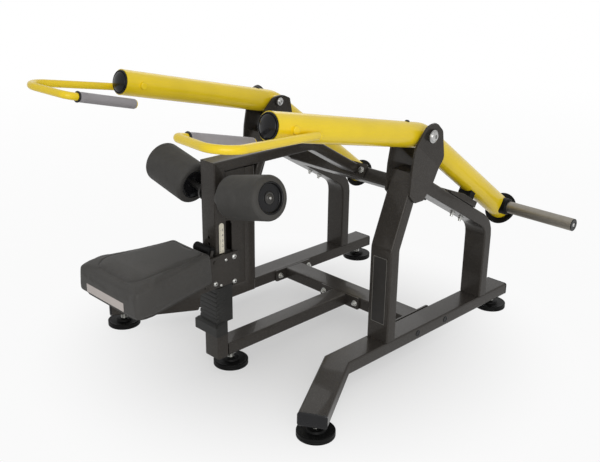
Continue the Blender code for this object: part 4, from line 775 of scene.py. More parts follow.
chrome = metal_material("bright_chrome", (0.50, 0.50, 0.49), (0.22, 0.21, 0.20), 0.6, 0.14,
                        (700.0,) * 3, 0.00001)
for side, sign in SIDES:
    shape = bmesh.new()
    centre = at(sign * PIVOT[0], PIVOT[1], PIVOT[2])
    add_turned(shape, centre, ACROSS, [(0, -BOSS_FACE), (BOLT_RADIUS, -BOSS_FACE),
                                       (BOLT_RADIUS, BOSS_FACE), (0, BOSS_FACE)], 48)
    for facing in (1, -1):
        way = ACROSS * facing
        sizes = (0.0205, 0.0098, 0.0080) if facing == sign else (0.0140, 0.0060, 0.0060)
        add_button_head(shape, centre + way * BOSS_FACE, way, *sizes, 0.0020)
    add_piece(side + "_pivot_bolt_chromed", closed(shape), chrome, "frame",
              [side + "_pivot_bolt"], 34.0)


# ---------------------------------------------------------------- Arm stops
# Folded steel brackets are bolted down on the diagonals of the rear legs, and each carries a
# rubber block with a hollow that the resting arm lies in. Nuts close the bolts underneath.

SLOPE = math.radians(30)
SLOPE_UP = Vector((0, 0.5, math.cos(SLOPE)))
for side, sign in SIDES:
    dress(side + "_stop_pad", "rubber", rubber, bevel=0.0025)
rows = [(at(sign * PIVOT[0], y, z), Vector(), 1, -SLOPE_UP)
        for side, sign in SIDES for y, z in ((0.8218, 0.5185), (0.8803, 0.4846))]
add_bolts("stop_bracket_nuts", rows, "frame", (0.0098, 0.0085), (0.0125, 0.002), 0.86,
          (0.0055, 0.0185))


# ---------------------------------------------------------------- Frame bolts
# The lower cross beam is bolted between the runners, the spine to the cross beam, and the top
# beam's flange to the cross tube. Black plugs close the holes in the runners' outer sides.

BOLT_Y = (0.579, 0.757)
DIAGONAL_FOOT = (1.018, 0.434)
FLANGE_Y = 0.668
TUBE_HALF = 0.025
SLOPE_ALONG = Vector((0, math.cos(SLOPE), -0.5))
rows = [(at(sign * 0.3374, y, 0.084), Vector(), 1, -ACROSS * sign)
        for side, sign in SIDES for y in BOLT_Y]
rows.append((at(-0.089, 0.6056, 0.084), ACROSS * 0.178, 2, Vector((0, -1, 0))))
add_bolts("lower_frame_bolts", rows, "frame", (0.0100, 0.0080), (0.0128, 0.002), 0.84,
          (0.0055, 0.0150))
plugs = bmesh.new()
for side, sign in SIDES:
    for y in BOLT_Y:
        add_turned(plugs, at(sign * 0.4458, y, 0.087), ACROSS * sign, rounded([
            (0, 0), (0.0125, 0), (0.0125, 0.0016), (0.0095, 0.0020), (0.0088, 0.0006),
            (0.0060, 0.0004), (0, 0.0004)], 0.0004), 40)
add_piece("runner_hole_plugs", closed(plugs), black_plastic, "frame",
          sharp=30.0)
diagonal_top = (DIAGONAL_FOOT[1] + math.tan(SLOPE) * (DIAGONAL_FOOT[0] - FLANGE_Y)
                + TUBE_HALF / math.cos(SLOPE))
flange_middle = at(0, FLANGE_Y, diagonal_top) - SLOPE_UP * 0.020 - SLOPE_ALONG * 0.0084
add_bolts("top_beam_bolts", [(flange_middle - ACROSS * 0.058, ACROSS * 0.116, 2, -SLOPE_ALONG)],
          "frame", (0.0105, 0.0080), (0.0135, 0.002), 0.84, (0.0055, 0.0040))


# ---------------------------------------------------------------- Placard
# A thin satin plate is stuck to the front face of the right front leg, with a pale line
# printed just inside its edge. It is left bare.

LEG_FACE_Y = 0.388
PLATE_FACE_LEVEL = 0.0006
LINE_LEVEL = 0.0008


def in_front(x, z, level):
    return at(x, LEG_FACE_Y - level, z)


def rounded_frame(x0, x1, z0, z1, radius):
    return (arc(x1 - radius, z0 + radius, radius, -90, 0, 4)
            + arc(x1 - radius, z1 - radius, radius, 0, 90, 4)
            + arc(x0 + radius, z1 - radius, radius, 90, 180, 4)
            + arc(x0 + radius, z0 + radius, radius, 180, 270, 4))


plate_film = moulded_material("placard_film", (0.022, 0.020, 0.018), (0.034, 0.031, 0.028), 0.6,
                              0.30, 400.0, 0.00001, 0.25)
plate_line = moulded_material("placard_line", (0.20, 0.19, 0.17), (0.14, 0.13, 0.12), 0.5, 0.4,
                              400.0, 0.00001)
outline = rounded_frame(0.3625, 0.4295, 0.180, 0.447, 0.003)
add_piece("placard", sheet(outline, 0.0001, PLATE_FACE_LEVEL, in_front), plate_film, "frame",
          sharp=30.0)
shape = bmesh.new()
outside = rounded_frame(0.3640, 0.4280, 0.1815, 0.4455, 0.0022)
inside = rounded_frame(0.3654, 0.4266, 0.1829, 0.4441, 0.0010)
rings = [[shape.verts.new(in_front(x, z, level)) for x, z in ring]
         for ring, level in ((outside, PLATE_FACE_LEVEL), (outside, LINE_LEVEL),
                             (inside, LINE_LEVEL), (inside, PLATE_FACE_LEVEL))]
bridge(shape, rings + rings[:1])
add_piece("placard_border", closed(shape), plate_line, "frame", sharp=30.0)


# ---------------------------------------------------------------- Press arms
# Each arm is a steel tube of 93 mm with one bend, sprayed glossy yellow. A bush is welded
# through it at the bend for the pivot bolt, and a short cross bar through its front end. At
# rest the left arm's weight end hangs 1.55 degrees lower.

ARM_RADIUS = 0.0465
ARM_X = PIVOT[0]
ELBOW = (0.579, 0.871)
ELBOW_BEND = 0.150
FRONT_RISE = math.radians(11.6)
REAR_FALL = math.radians(35.1)
LEFT_TILT = math.radians(1.55)
ARM_FORWARD = Vector((0, -math.cos(FRONT_RISE), math.sin(FRONT_RISE)))
ARM_UP = Vector((0, math.sin(FRONT_RISE), math.cos(FRONT_RISE)))
ARM_REARWARD = Vector((0, math.cos(REAR_FALL), -math.sin(REAR_FALL)))


def bent_tube():
    """A round bar or tube along a path of points, which each hold their own bend radius."""
    tree, given = growth_group("bent_tube", Geometry=("Path",), Float=("Radius",),
                               Int=("Sides", "Bend Steps"))
    path = node(tree, "GeometryNodeMeshToCurve", {"Mesh": given["Path"]})
    bend = node(tree, "GeometryNodeInputNamedAttribute", {"Name": "bend"}, data_type="FLOAT")
    round_path = node(tree, "GeometryNodeFilletCurve",
                      {"Curve": path.outputs[0], "Count": given["Bend Steps"],
                       "Radius": bend.outputs[0]}, mode="POLY")
    ring = node(tree, "GeometryNodeCurvePrimitiveCircle",
                {"Resolution": given["Sides"], "Radius": given["Radius"]}, mode="RADIUS")
    skin = node(tree, "GeometryNodeCurveToMesh",
                {"Curve": round_path.outputs[0], "Profile Curve": ring.outputs[0],
                 "Fill Caps": True})
    return close_growth(tree, given, skin.outputs[0])


def bent(points, bends, radius, sides, steps):
    """A yellow rod through the points, rounded at each by its bend radius."""
    path = bpy.data.meshes.new("path")
    path.from_pydata(points, [(i, i + 1) for i in range(len(points) - 1)], [])
    held = path.attributes.new("bend", "FLOAT", "POINT")
    for item, value in zip(held.data, bends):
        item.value = value
    return closed(grown(sweep, {"Radius": radius, "Sides": sides, "Bend Steps": steps,
                                "Material": yellow}, path))


def arm_point(y):
    """A point on the untilted right arm's centre line."""
    if y < ELBOW[0]:
        return Vector((ARM_X, y, ELBOW[1] + math.tan(FRONT_RISE) * (ELBOW[0] - y)))
    return Vector((ARM_X, y, ELBOW[1] - math.tan(REAR_FALL) * (y - ELBOW[0])))


def add_to_arm(side, name, shape, material, replaced="", sharp=38.0):
    """Adds a piece to an arm. Its bmesh is made for the untilted right arm, and for the left
    one it is mirrored and tilted about the pivot."""
    if side == "left":
        shape.transform(Matrix.Scale(-1, 4, (1, 0, 0)))
        pivot = Matrix.Translation((0, PIVOT[1], PIVOT[2]))
        shape.transform(pivot @ Matrix.Rotation(-LEFT_TILT, 4, "X") @ pivot.inverted())
        bmesh.ops.recalc_face_normals(shape, faces=shape.faces)
    shape.transform(Matrix.Translation((0, FOOT_Y, 0)))
    add_piece(f"{side}_{name}", shape, material, side + "_arm",
              [f"{side}_{replaced}"] if replaced else (), sharp)


sweep = bent_tube()
yellow = finish_material(
    "yellow_gloss", lacquer,
    {"Colour": (0.83, 0.600, 0.012), "Flake Colour": (0.86, 0.66, 0.03),
     "Flake Share": 0.3, "Roughness": 0.25, "Peel": 160.0},
    0.00004, Specular_IOR_Level=0.40)
ARM_FRONT = arm_point(-0.166)
ARM_REAR = arm_point(1.168)
for side, sign in SIDES:
    tube = bent([ARM_FRONT, arm_point(ELBOW[0]), ARM_REAR], [0, ELBOW_BEND, 0], ARM_RADIUS, 96,
                28)
    add_to_arm(side, "arm_painted_tube", tube, yellow, "arm_tube", 40.0)
    bush = rounded([(0.0125, -0.0570), (0.0210, -0.0570), (0.0210, 0.0570), (0.0125, 0.0570)],
                   0.001)
    add_to_arm(side, "arm_bush", turned(Vector(PIVOT), ACROSS, bush, 56), yellow,
               sharp=40.0)
    bar = rounded([(0, -0.0565), (0.0135, -0.0565), (0.0135, 0.0565), (0, 0.0565)], 0.0030)
    add_to_arm(side, "arm_cross_bar", turned(arm_point(-0.100), ACROSS, bar, 40), yellow,
               sharp=50.0)


# ---------------------------------------------------------------- Arm caps, plugs and discs
# A glossy black cap closes each arm's front end inside the tube's rim, a small button stops
# the hole on top, and a rubber disc on the lower end keeps it off the plates.

glossy_plastic = moulded_material("black_glossy_plastic", (0.006, 0.006, 0.007),
                                  (0.012, 0.012, 0.012), 0.5, 0.20, 300.0, 0.00001, 0.22)
for side, sign in SIDES:
    cap = rounded([
        (0, -0.004), (0.0436, -0.004), (0.0436, 0.0026), (0.0425, 0.0050), (0.0402, 0.0052),
        (0.0392, 0.0018), (0.0376, 0.0018), (0.0366, 0.0056), (0.0330, 0.0082),
        (0.0250, 0.0112), (0.0150, 0.0132), (0.0070, 0.0141), (0, 0.0144)], 0.0012)
    add_to_arm(side, "arm_cap_moulding", turned(ARM_FRONT, ARM_FORWARD, cap, 80),
               glossy_plastic, "arm_cap", 32.0)
    button = [(0, 0), (0.0085, 0), (0.0085, 0.0040), (0.0078, 0.0058), (0.0055, 0.0076),
              (0.0028, 0.0084), (0, 0.0086)]
    hole = arm_point(0.490) + ARM_UP * (ARM_RADIUS - 0.003)
    add_to_arm(side, "arm_button", turned(hole, ARM_UP, button, 40), glossy_plastic,
               sharp=50.0)
    disc = rounded([
        (0, 0.0003), (0.0655, 0.0003), (0.0688, 0.0030), (0.0688, 0.0090), (0.0655, 0.0118),
        (0.0560, 0.0118), (0.0540, 0.0100), (0.0300, 0.0100), (0, 0.0100)], 0.0016)
    add_to_arm(side, "arm_disc_rubber", turned(ARM_REAR, ARM_REARWARD, disc, 88), rubber,
               "arm_disc", 32.0)


# ---------------------------------------------------------------- Handles
# Bent steel tube of 27 mm, coped and welded to the outer side of the arm and sprayed with it,
# that turns back inwards to the hand grip.

HANDLE_RADIUS = 0.0135
WELD_REACH, WELD_STEP = 0.030, 0.0005
BELOW = math.radians(16.5)
weld_way = ACROSS * math.cos(BELOW) - ARM_UP * math.sin(BELOW)
weld_end = arm_point(-0.044) + weld_way * (ARM_RADIUS + HANDLE_RADIUS + 0.0006)
outer = Vector((ARM_X + 0.164, -0.483, 1.032))
front = Vector((ARM_X - 0.097, -0.441, 1.020))
grip_end = Vector((ARM_X - 0.077, -0.158, 0.955))
grip_way = (grip_end - front).normalized()
run_in = (weld_end - outer).normalized()


def weld_bead():
    """A rippled bead where the handle's tube runs into the arm's."""
    shape = bmesh.new()
    count, ripples = 56, 14
    rings = []
    for bulge, back in ((0.0, 0.0), (0.0016, 0.0008), (0.0022, 0.0022), (0.0012, 0.0040),
                        (0.0, 0.0050)):
        ring = []
        for i, way in enumerate(spokes(run_in, count)):
            foot = weld_end + way * HANDLE_RADIUS
            along = -WELD_REACH
            for step in range(160):
                point = foot + run_in * along
                offset = point - arm_point(point.y)
                if (offset - ARM_FORWARD * offset.dot(ARM_FORWARD)).length < ARM_RADIUS:
                    break
                along += WELD_STEP
            ripple = 1 + 0.25 * math.sin(i * math.tau / count * ripples)
            ring.append(shape.verts.new(foot + run_in * (along + 0.0012 - back)
                                        + way * bulge * ripple))
        rings.append(ring)
    bridge(shape, rings + rings[:1])
    bmesh.ops.recalc_face_normals(shape, faces=shape.faces)
    return shape


for side, sign in SIDES:
    tube = bent([grip_end - grip_way * 0.004, front, outer, weld_end + run_in * 0.045],
                [0, 0.032, 0.070, 0], HANDLE_RADIUS, 48, 18)
    add_to_arm(side, "handle_painted_tube", tube, yellow, "handle_tube", 45.0)
    add_to_arm(side, "handle_weld", weld_bead(), yellow, sharp=80.0)


# ---------------------------------------------------------------- Hand grips
# Grey rubber sleeves pushed over the ends of the handles against a black flange ring. Fine
# grooves run round them near both ends, and the painted end of the tube shows behind.

grey_rubber = moulded_material("grey_rubber", (0.300, 0.285, 0.295), (0.235, 0.222, 0.228),
                               0.45, 0.50, 900.0, 0.00008, 0.3)
for side, sign in SIDES:
    sleeve = [(HANDLE_RADIUS, -0.2430), (0.0176, -0.2430)]
    for start in (-0.2350, -0.0300):
        for i in range(6):
            along = start + 0.0042 * i
            sleeve += [(0.0179, along), (0.0170, along + 0.0008), (0.0170, along + 0.0016),
                       (0.0179, along + 0.0024)]
    sleeve += [(0.0179, -0.0062), (0.0170, -0.0046), (0.0150, -0.0044), (0, -0.0044)]
    add_to_arm(side, "grip_sleeve", turned(grip_end, grip_way, sleeve, 56), grey_rubber,
               "handle_grip")
    ring = rounded([
        (HANDLE_RADIUS, -0.2490), (0.0186, -0.2490), (0.0198, -0.2476), (0.0198, -0.2452),
        (0.0190, -0.2430), (HANDLE_RADIUS, -0.2430)], 0.0006)
    add_to_arm(side, "grip_ring", turned(grip_end, grip_way, ring, 56), black_plastic)
    end = rounded([(0, -0.0060), (0.0158, -0.0060), (0.0158, -0.0004), (0.0145, 0.0008),
                   (0, 0.0010)], 0.0010)
    add_to_arm(side, "grip_end", turned(grip_end, grip_way, end, 40), yellow,
               sharp=45.0)


# ---------------------------------------------------------------- Weight horns
# A horn of drawn steel bar, 50 mm thick and lacquered bare, is welded square to the arm's
# outer side inside a black collar. A black end cap is screwed on with a button head.

drawn_steel = metal_material("drawn_steel", (0.255, 0.236, 0.204), (0.200, 0.181, 0.150), 0.5,
                             0.46, (1800.0, 14.0, 14.0), 0.00003)
HORN_ROOT = arm_point(1.130)
HORN_TIP_X = 0.757
HORN_END = HORN_TIP_X - ARM_X - 0.0030
for side, sign in SIDES:
    horn = rounded([(0, 0.0300), (0.0249, 0.0300), (0.0249, HORN_END - 0.0002),
                    (0.0238, HORN_END), (0, HORN_END)], 0.0006)
    add_to_arm(side, "horn_steel", turned(HORN_ROOT, ACROSS, horn, 80), drawn_steel,
               "weight_horn")
    cap = rounded([(0, 0), (0.0247, 0), (0.0247, 0.0022), (0.0225, 0.0032), (0.0135, 0.0032),
                   (0.0125, 0.0016), (0, 0.0016)], 0.0007)
    add_to_arm(side, "horn_cap", turned(HORN_ROOT + ACROSS * HORN_END, ACROSS, cap, 72),
               black_plastic, sharp=32.0)
    screw = button_head(HORN_ROOT + ACROSS * (HORN_END + 0.0016), ACROSS, 0.0080, 0.0036, 0.0036)
    add_to_arm(side, "horn_screw", screw, chrome, sharp=34.0)
    collar = rounded([(0.0252, 0.0300), (0.0340, 0.0300), (0.0340, 0.0625), (0.0300, 0.0665),
                      (0.0262, 0.0665), (0.0252, 0.0655)], 0.0014)
    add_to_arm(side, "horn_collar_rubber", turned(HORN_ROOT, ACROSS, collar, 72), rubber,
               "horn_collar")


# ---------------------------------------------------------------- Thigh rollers
# Two rollers of moulded grey foam over a plastic core, dished at both ends. They turn on
# blackened bars that stand out from the post, and a button head holds each roller on.

PAD_TILT = math.radians(13)
PAD_MIDDLE = at(0, -0.0665, 0.683)
PAD_LENGTH = 0.205
PAD_INNER = 0.040 / math.cos(PAD_TILT) + 0.062
PAD_OUTER = PAD_INNER + PAD_LENGTH
PAD_RADIUS = 0.0768
INNER_ROLL, OUTER_ROLL = 0.0135, 0.0150
SWELL_STEPS = 12
DISH_RADIUS = 0.0545
DISH_DEPTH = 0.012
BORE_RADIUS = 0.0128


def moulded_foam():
    """Skinned foam: soft mottling, a fine pore grain and shallow dents."""
    tree, given, place = effect_group("moulded_foam", ("Colour", "Low Colour"),
                                      ("Roughness", "Pores"))
    mottle = noise(tree, place, 26.0, 6.0, 0.65)
    colour = mixed(tree, spread(tree, mottle, 0.35, 0.75), given["Colour"], given["Low Colour"])
    pores = node(tree, "ShaderNodeTexVoronoi", {"Vector": place, "Scale": given["Pores"]})
    relief = calc(tree, "MULTIPLY_ADD", noise(tree, place, 40.0, 3.0), 4.0,
                  pores.outputs["Distance"])
    return close_effect(tree, given, colour, relief, mottle, -0.07, 0.07)


def roller_foam(axis):
    foam = [(DISH_RADIUS, PAD_INNER + 0.0015)]
    foam += arc(PAD_RADIUS - INNER_ROLL, PAD_INNER + INNER_ROLL, INNER_ROLL, -90, 0, 9)
    for i in range(1, SWELL_STEPS):
        share = i / SWELL_STEPS
        foam.append((PAD_RADIUS + 0.0002 * math.sin(share * math.pi),
                     PAD_INNER + INNER_ROLL + share * (PAD_LENGTH - 0.040)))
    seam = PAD_OUTER - 0.0250
    foam += [(PAD_RADIUS, seam - 0.0012), (PAD_RADIUS - 0.0005, seam - 0.0004),
             (PAD_RADIUS - 0.0005, seam + 0.0004), (PAD_RADIUS, seam + 0.0012)]
    foam += arc(PAD_RADIUS - OUTER_ROLL, PAD_OUTER - OUTER_ROLL, OUTER_ROLL, 0, 90, 9)
    foam += [(DISH_RADIUS + 0.002, PAD_OUTER), (DISH_RADIUS, PAD_OUTER - 0.0015), foam[0]]
    return turned(PAD_MIDDLE, axis, foam, 96)


grey_foam = finish_material(
    "grey_foam", moulded_foam(),
    {"Colour": (0.058, 0.056, 0.052), "Low Colour": (0.047, 0.045, 0.042),
     "Roughness": 0.66, "Pores": 1500.0}, 0.00006, Specular_IOR_Level=0.25)
blackened_steel = metal_material("blackened_steel", (0.060, 0.058, 0.055),
                                 (0.040, 0.038, 0.035), 0.5, 0.38, (900.0,) * 3, 0.00002, 0.8)
for side, sign in SIDES:
    dress(side + "_roller_axle", "bar", blackened_steel, 34.0)
    axis = Vector((sign * math.cos(PAD_TILT), 0, math.sin(PAD_TILT)))
    pad = add_piece(side + "_thigh_roller_foam", roller_foam(axis), grey_foam, side + "_pad",
                    [side + "_thigh_roller"], 60.0)
    core = DISH_RADIUS - 0.0003
    low, high = PAD_INNER, PAD_OUTER
    profile = [(BORE_RADIUS, low + DISH_DEPTH + 0.002), (0.022, low + DISH_DEPTH),
               (0.044, low + 0.0110), (0.0500, low + 0.0020), (0.0520, low + 0.0004),
               (core, low + 0.0004), (core, high - 0.0004), (0.0520, high - 0.0002),
               (0.0498, high - 0.0016), (0.0475, high - 0.0100), (0.0450, high - 0.0118),
               (0.0240, high - 0.0122), (0.0225, high - 0.0112), (0.0190, high - 0.0110),
               (0.0180, high - DISH_DEPTH), (BORE_RADIUS, high - DISH_DEPTH)]
    hub = turned(PAD_MIDDLE, axis, rounded(profile, 0.0010) + [profile[0]], 88)
    add_piece(side + "_thigh_roller_core", hub, glossy_plastic, side + "_pad",
              sharp=34.0)
    end = PAD_MIDDLE + axis * (high - DISH_DEPTH)
    add_piece(side + "_roller_screw",
              button_head(end + axis * 0.0004, axis, 0.0160, 0.0068, 0.0050, 0.0012),
              blackened_steel, "frame", sharp=34.0)
    add_piece(side + "_roller_screw_tip",
              button_head(end + axis * 0.0074, axis, 0.0056, 0.0028, 0.0022), chrome, "frame",
              sharp=34.0)


# ---------------------------------------------------------------- Seat carriage
# Two laser-cut side plates welded to a block and the seat's tray run on the post between
# nylon rollers. The rollers' bolts and two guide screws show as bright heads on the plates.

CARRIAGE_FACE = 0.0580
dress("seat_carriage", "plates", anthracite, 34.0, 0.0006)
for name in ("front_upper_roller", "front_lower_roller", "rear_upper_roller",
             "rear_lower_roller"):
    dress(name, "nylon", nylon, 34.0, 0.0008)
heads = bmesh.new()
for side, sign in SIDES:
    for y, z, radius, height, key in ((-0.0237, 0.463, 0.0096, 0.0055, 0.0036),
                                      (-0.0237, 0.367, 0.0090, 0.0052, 0.0034),
                                      (-0.1113, 0.381, 0.0090, 0.0052, 0.0034),
                                      (-0.0620, 0.461, 0.0058, 0.0036, 0.0022),
                                      (-0.0860, 0.3690, 0.0052, 0.0034, 0.0020)):
        add_button_head(heads, at(sign * CARRIAGE_FACE, y, z), ACROSS * sign, radius, height,
                        key)
add_piece("seat_carriage_bolt_heads", closed(heads), zinc, "seat", sharp=34.0)


# ---------------------------------------------------------------- Seat lever and latch
# The lever is a stirrup of flat steel with a thick rubber grip across its top. Pulled back, it
# draws the plated latch pin out of the post against a spring.

GRIP_RADIUS = 0.0174
dress("seat_lever", "stirrup", anthracite, 34.0, 0.0004)
grip = [(0.0055, -0.0430), (0.0150, -0.0430), (0.0170, -0.0412), (GRIP_RADIUS, -0.0390)]
for i in range(17):
    start = -0.0360 + 0.0043 * i
    grip += [(GRIP_RADIUS, start), (GRIP_RADIUS - 0.0005, start + 0.0006),
             (GRIP_RADIUS - 0.0005, start + 0.0012), (GRIP_RADIUS, start + 0.0018)]
grip += [(GRIP_RADIUS, 0.0390), (0.0170, 0.0412), (0.0150, 0.0430), (0.0055, 0.0430)]
add_piece("lever_grip_rubber", turned(at(0, -0.115, 0.500), ACROSS, grip + [grip[0]], 56),
          rubber, "seat_latch_lever", ["lever_grip"])
dress("latch_pin", "plated", zinc, 34.0)


# ---------------------------------------------------------------- Seat board
# The cushion is built on a board of birch plywood, 11 mm thick, with its edge and underside
# stained black. Four countersunk screws come up into it through the seat's tray.

def stained_ply():
    """Black-stained plywood: long grain in the face and thin layers round the edge."""
    tree, given, place = effect_group("stained_ply", ("Colour", "Grain Colour"),
                                      ("Layer", "Roughness"))
    grain = noise(tree, stretched(tree, place, (160.0, 9.0, 0.0)), 1.0, 6.0, 0.7)
    level = node(tree, "ShaderNodeSeparateXYZ", {"Vector": place}).outputs["Z"]
    wave = calc(tree, "SINE", calc(tree, "MULTIPLY", level, given["Layer"]))
    share = calc(tree, "MULTIPLY", grain, spread(tree, wave, -1.0, 1.0, 0.0, 0.5))
    return close_effect(tree, given, mixed(tree, share, given["Colour"], given["Grain Colour"]),
                        grain, grain, -0.1, 0.1)


black_ply = finish_material("black_stained_ply", stained_ply(), {
    "Colour": (0.014, 0.013, 0.011), "Grain Colour": (0.050, 0.040, 0.030),
    "Layer": 2200.0, "Roughness": 0.62}, 0.00015)
dress("seat_board", "ply", black_ply, 34.0, 0.0012)
rows = [(at(x, -0.405, 0.3926), Vector((0, 0.170, 0)), 2, -UP) for x in (-0.030, 0.030)]
add_bolts("seat_board_screws", rows, "seat", (0.0062, 0.0036), (0.0080, 0.0010), 0.82,
          (0.003, 0.002))


# ---------------------------------------------------------------- Seat cushion
# Moulded foam under dark grey vinyl, drawn down over the board and stapled under it. The cover
# is blown up a little as cloth, so the crown, the rolled edge and the sides stay soft.

CUSHION_BACK, CUSHION_FRONT, CUSHION_HALF = -0.160, -0.522, 0.172
CUSHION_FOOT = 0.4149
RING_POINTS = 150
CROWN_HEIGHT, CROWN_Y = 0.5260, -0.345
RIM_HEIGHT, RIM_RISE, RIM_FALL = 0.5196, 0.0040, 0.0196
SEAM_DEPTH, SEAM_HALF_WIDTH = 0.0034, 0.0030
DRAWN_IN = 0.0016
VOXEL = 0.0052
PRESSURE = 4.0
MOST_SWELLING = 0.0040
HELD_BELOW = 0.4190
CLOTH_FRAMES = 20
FRONT_ROOM, BOX_ROOM = 0.0009, 0.0002


def corner_path(corners, radii, steps):
    """A closed outline with each corner rounded by its radius."""
    result = []
    for i, here in enumerate(corners):
        here = Vector((*here, 0))
        before = Vector((*corners[i - 1], 0))
        after = Vector((*corners[(i + 1) % len(corners)], 0))
        into, out = (before - here).normalized(), (after - here).normalized()
        half = math.acos(max(-1.0, min(1.0, into.dot(out)))) / 2
        reach = radii[i] / math.tan(half)
        middle = here + (into + out).normalized() * radii[i] / math.sin(half)
        start, end = here + into * reach - middle, here + out * reach - middle
        for j in range(steps + 1):
            result.append(middle + start.slerp(end, j / steps).normalized() * radii[i])
    return result


def both_halves(right, radii, steps):
    """A closed outline from the corners of its right half and their radii."""
    return corner_path(right + [(-x, y) for x, y in reversed(right)],
                       radii + radii[::-1], steps)


def cushion_outline(inset):
    wide = CUSHION_HALF - inset
    right = [(0.108 - inset, CUSHION_BACK - inset), (wide, -0.450),
             (wide, CUSHION_FRONT + inset)]
    return both_halves(right, [0.006, 0.060, max(0.013 - inset / 2, 0.008)], 10)


def crease_outline():
    """Where the top panel meets the shoulder: narrower than the cushion, corners cut off."""
    right = [(0.087, -0.186), (0.119, -0.430), (0.117, -0.456), (0.092, -0.488)]
    return both_halves(right, [0.008, 0.030, 0.012, 0.012], 6)


def even_loop(points, count):
    """The same closed line with its points spread evenly along it."""
    lengths = [(points[(i + 1) % len(points)] - p).length for i, p in enumerate(points)]
    whole = sum(lengths)
    result = []
    edge, gone = 0, 0.0
    for i in range(count):
        target = whole * i / count
        while gone + lengths[edge] < target:
            gone += lengths[edge]
            edge += 1
        share = (target - gone) / max(lengths[edge], 1e-9)
        result.append(points[edge].lerp(points[(edge + 1) % len(points)], share))
    return result


def rim_height(y):
    """The height of the sides: level, and falling away over the front 85 mm."""
    fall = max(0.0, min(1.0, (-0.435 - y) / 0.086))
    rise = max(0.0, min(1.0, (y + 0.300) / 0.140))
    return RIM_HEIGHT + RIM_RISE * rise - RIM_FALL * fall ** 1.25


def cushion_shell():
    """The cover before it is blown up: upright sides, a nearly level shoulder, a low crown."""
    rings = []
    for inset, share in ((0.0022, 0.0), (0.0006, 0.03), (0.0003, 0.10), (0.0, 0.25),
                         (0.0002, 0.45), (0.0005, 0.72), (0.0010, 0.88), (0.0022, 0.96),
                         (0.0046, 0.992), (0.0090, 1.0)):
        rings.append([(p.x, p.y, CUSHION_FOOT + (rim_height(p.y) - CUSHION_FOOT) * share)
                      for p in even_loop(cushion_outline(inset + DRAWN_IN), RING_POINTS)])
    top = [(p.x, p.y, rim_height(p.y) + 0.0008)
           for p in even_loop(crease_outline(), RING_POINTS)]
    for scale, rise in ((1.0, 0.0), (0.97, 0.16), (0.90, 0.40), (0.76, 0.66), (0.58, 0.84),
                        (0.36, 0.95), (0.15, 0.99)):
        rings.append([(x * scale, CROWN_Y + (y - CROWN_Y) * scale,
                       z + (CROWN_HEIGHT - z) * rise) for x, y, z in top])
    shape = bmesh.new()
    rings = [[shape.verts.new(at(*point)) for point in ring] for ring in rings]
    bridge(shape, rings)
    shape.faces.new(rings[0])
    shape.faces.new(rings[-1])
    bmesh.ops.recalc_face_normals(shape, faces=shape.faces)
    return shape


def swelled(cover, start):
    """Where a cover's points go under cloth pressure, with its lower edge held."""
    held = cover.vertex_groups.new(name="held")
    held.add([i for i, co in enumerate(start) if co.z < HELD_BELOW], 1.0, "REPLACE")
    cloth = cover.modifiers.new("cloth", "CLOTH")
    for key, value in (("quality", 6), ("mass", 0.4), ("tension_stiffness", 30),
                       ("compression_stiffness", 30), ("shear_stiffness", 10),
                       ("bending_stiffness", 4), ("use_pressure", True),
                       ("uniform_pressure_force", PRESSURE), ("vertex_group_mass", "held")):
        setattr(cloth.settings, key, value)
    cloth.settings.effector_weights.gravity = 0
    cloth.collision_settings.use_collision = False
    cloth.point_cache.frame_start = 1
    cloth.point_cache.frame_end = CLOTH_FRAMES
    for number in range(1, CLOTH_FRAMES + 1):
        scene.frame_set(number)
    ready = cover.evaluated_get(bpy.context.evaluated_depsgraph_get())
    ends = []
    for before, vert in zip(start, ready.data.vertices):
        move = vert.co - before
        if move.length > MOST_SWELLING:
            move *= MOST_SWELLING / move.length
        ends.append(before + move)
    scene.frame_set(1)
    return ends


def blown_up(shape):
    """Remeshes a closed cover, swells it with cloth pressure and returns it as a bmesh."""
    cover = linked("cover", mesh_of(shape, "cover"))
    even = cover.modifiers.new("even_mesh", "REMESH")
    even.mode = "VOXEL"
    even.voxel_size = VOXEL
    even_mesh = evaluated_mesh(cover)
    cover.modifiers.clear()
    cover.data = even_mesh
    ends = [vert.co.copy() for vert in even_mesh.vertices]
    ends = swelled(cover, ends)
    bpy.data.objects.remove(cover)
    result = bmesh.new()
    take_mesh(result, even_mesh)
    for vert, co in zip(result.verts, ends):
        vert.co = co
    bmesh.ops.smooth_vert(result, verts=result.verts, factor=0.5, use_axis_x=True,
                          use_axis_y=True, use_axis_z=True)
    return result


def subdivided(shape):
    """The same closed mesh with every face cut in four and rounded."""
    coarse = linked("coarse", mesh_of(shape, "coarse"))
    finer = coarse.modifiers.new("finer", "SUBSURF")
    finer.levels = 1
    mesh = evaluated_mesh(coarse)
    bpy.data.objects.remove(coarse)
    result = bmesh.new()
    take_mesh(result, mesh)
    result.normal_update()
    return result


def press_seam(shape, loop):
    """Draws the top down along a closed line, as a sewn seam does."""
    for vert in shape.verts:
        if vert.normal.z < 0.5:
            continue
        near = 1.0
        flat = Vector((vert.co.x, vert.co.y, 0))
        for i, start in enumerate(loop):
            end = loop[(i + 1) % len(loop)]
            share = max(0.0, min(1.0, (flat - start).dot(end - start)
                                 / (end - start).length_squared))
            near = min(near, (start.lerp(end, share) - flat).length)
        if near < SEAM_HALF_WIDTH * 3:
            vert.co.z -= SEAM_DEPTH * math.exp(-(near / SEAM_HALF_WIDTH) ** 2)


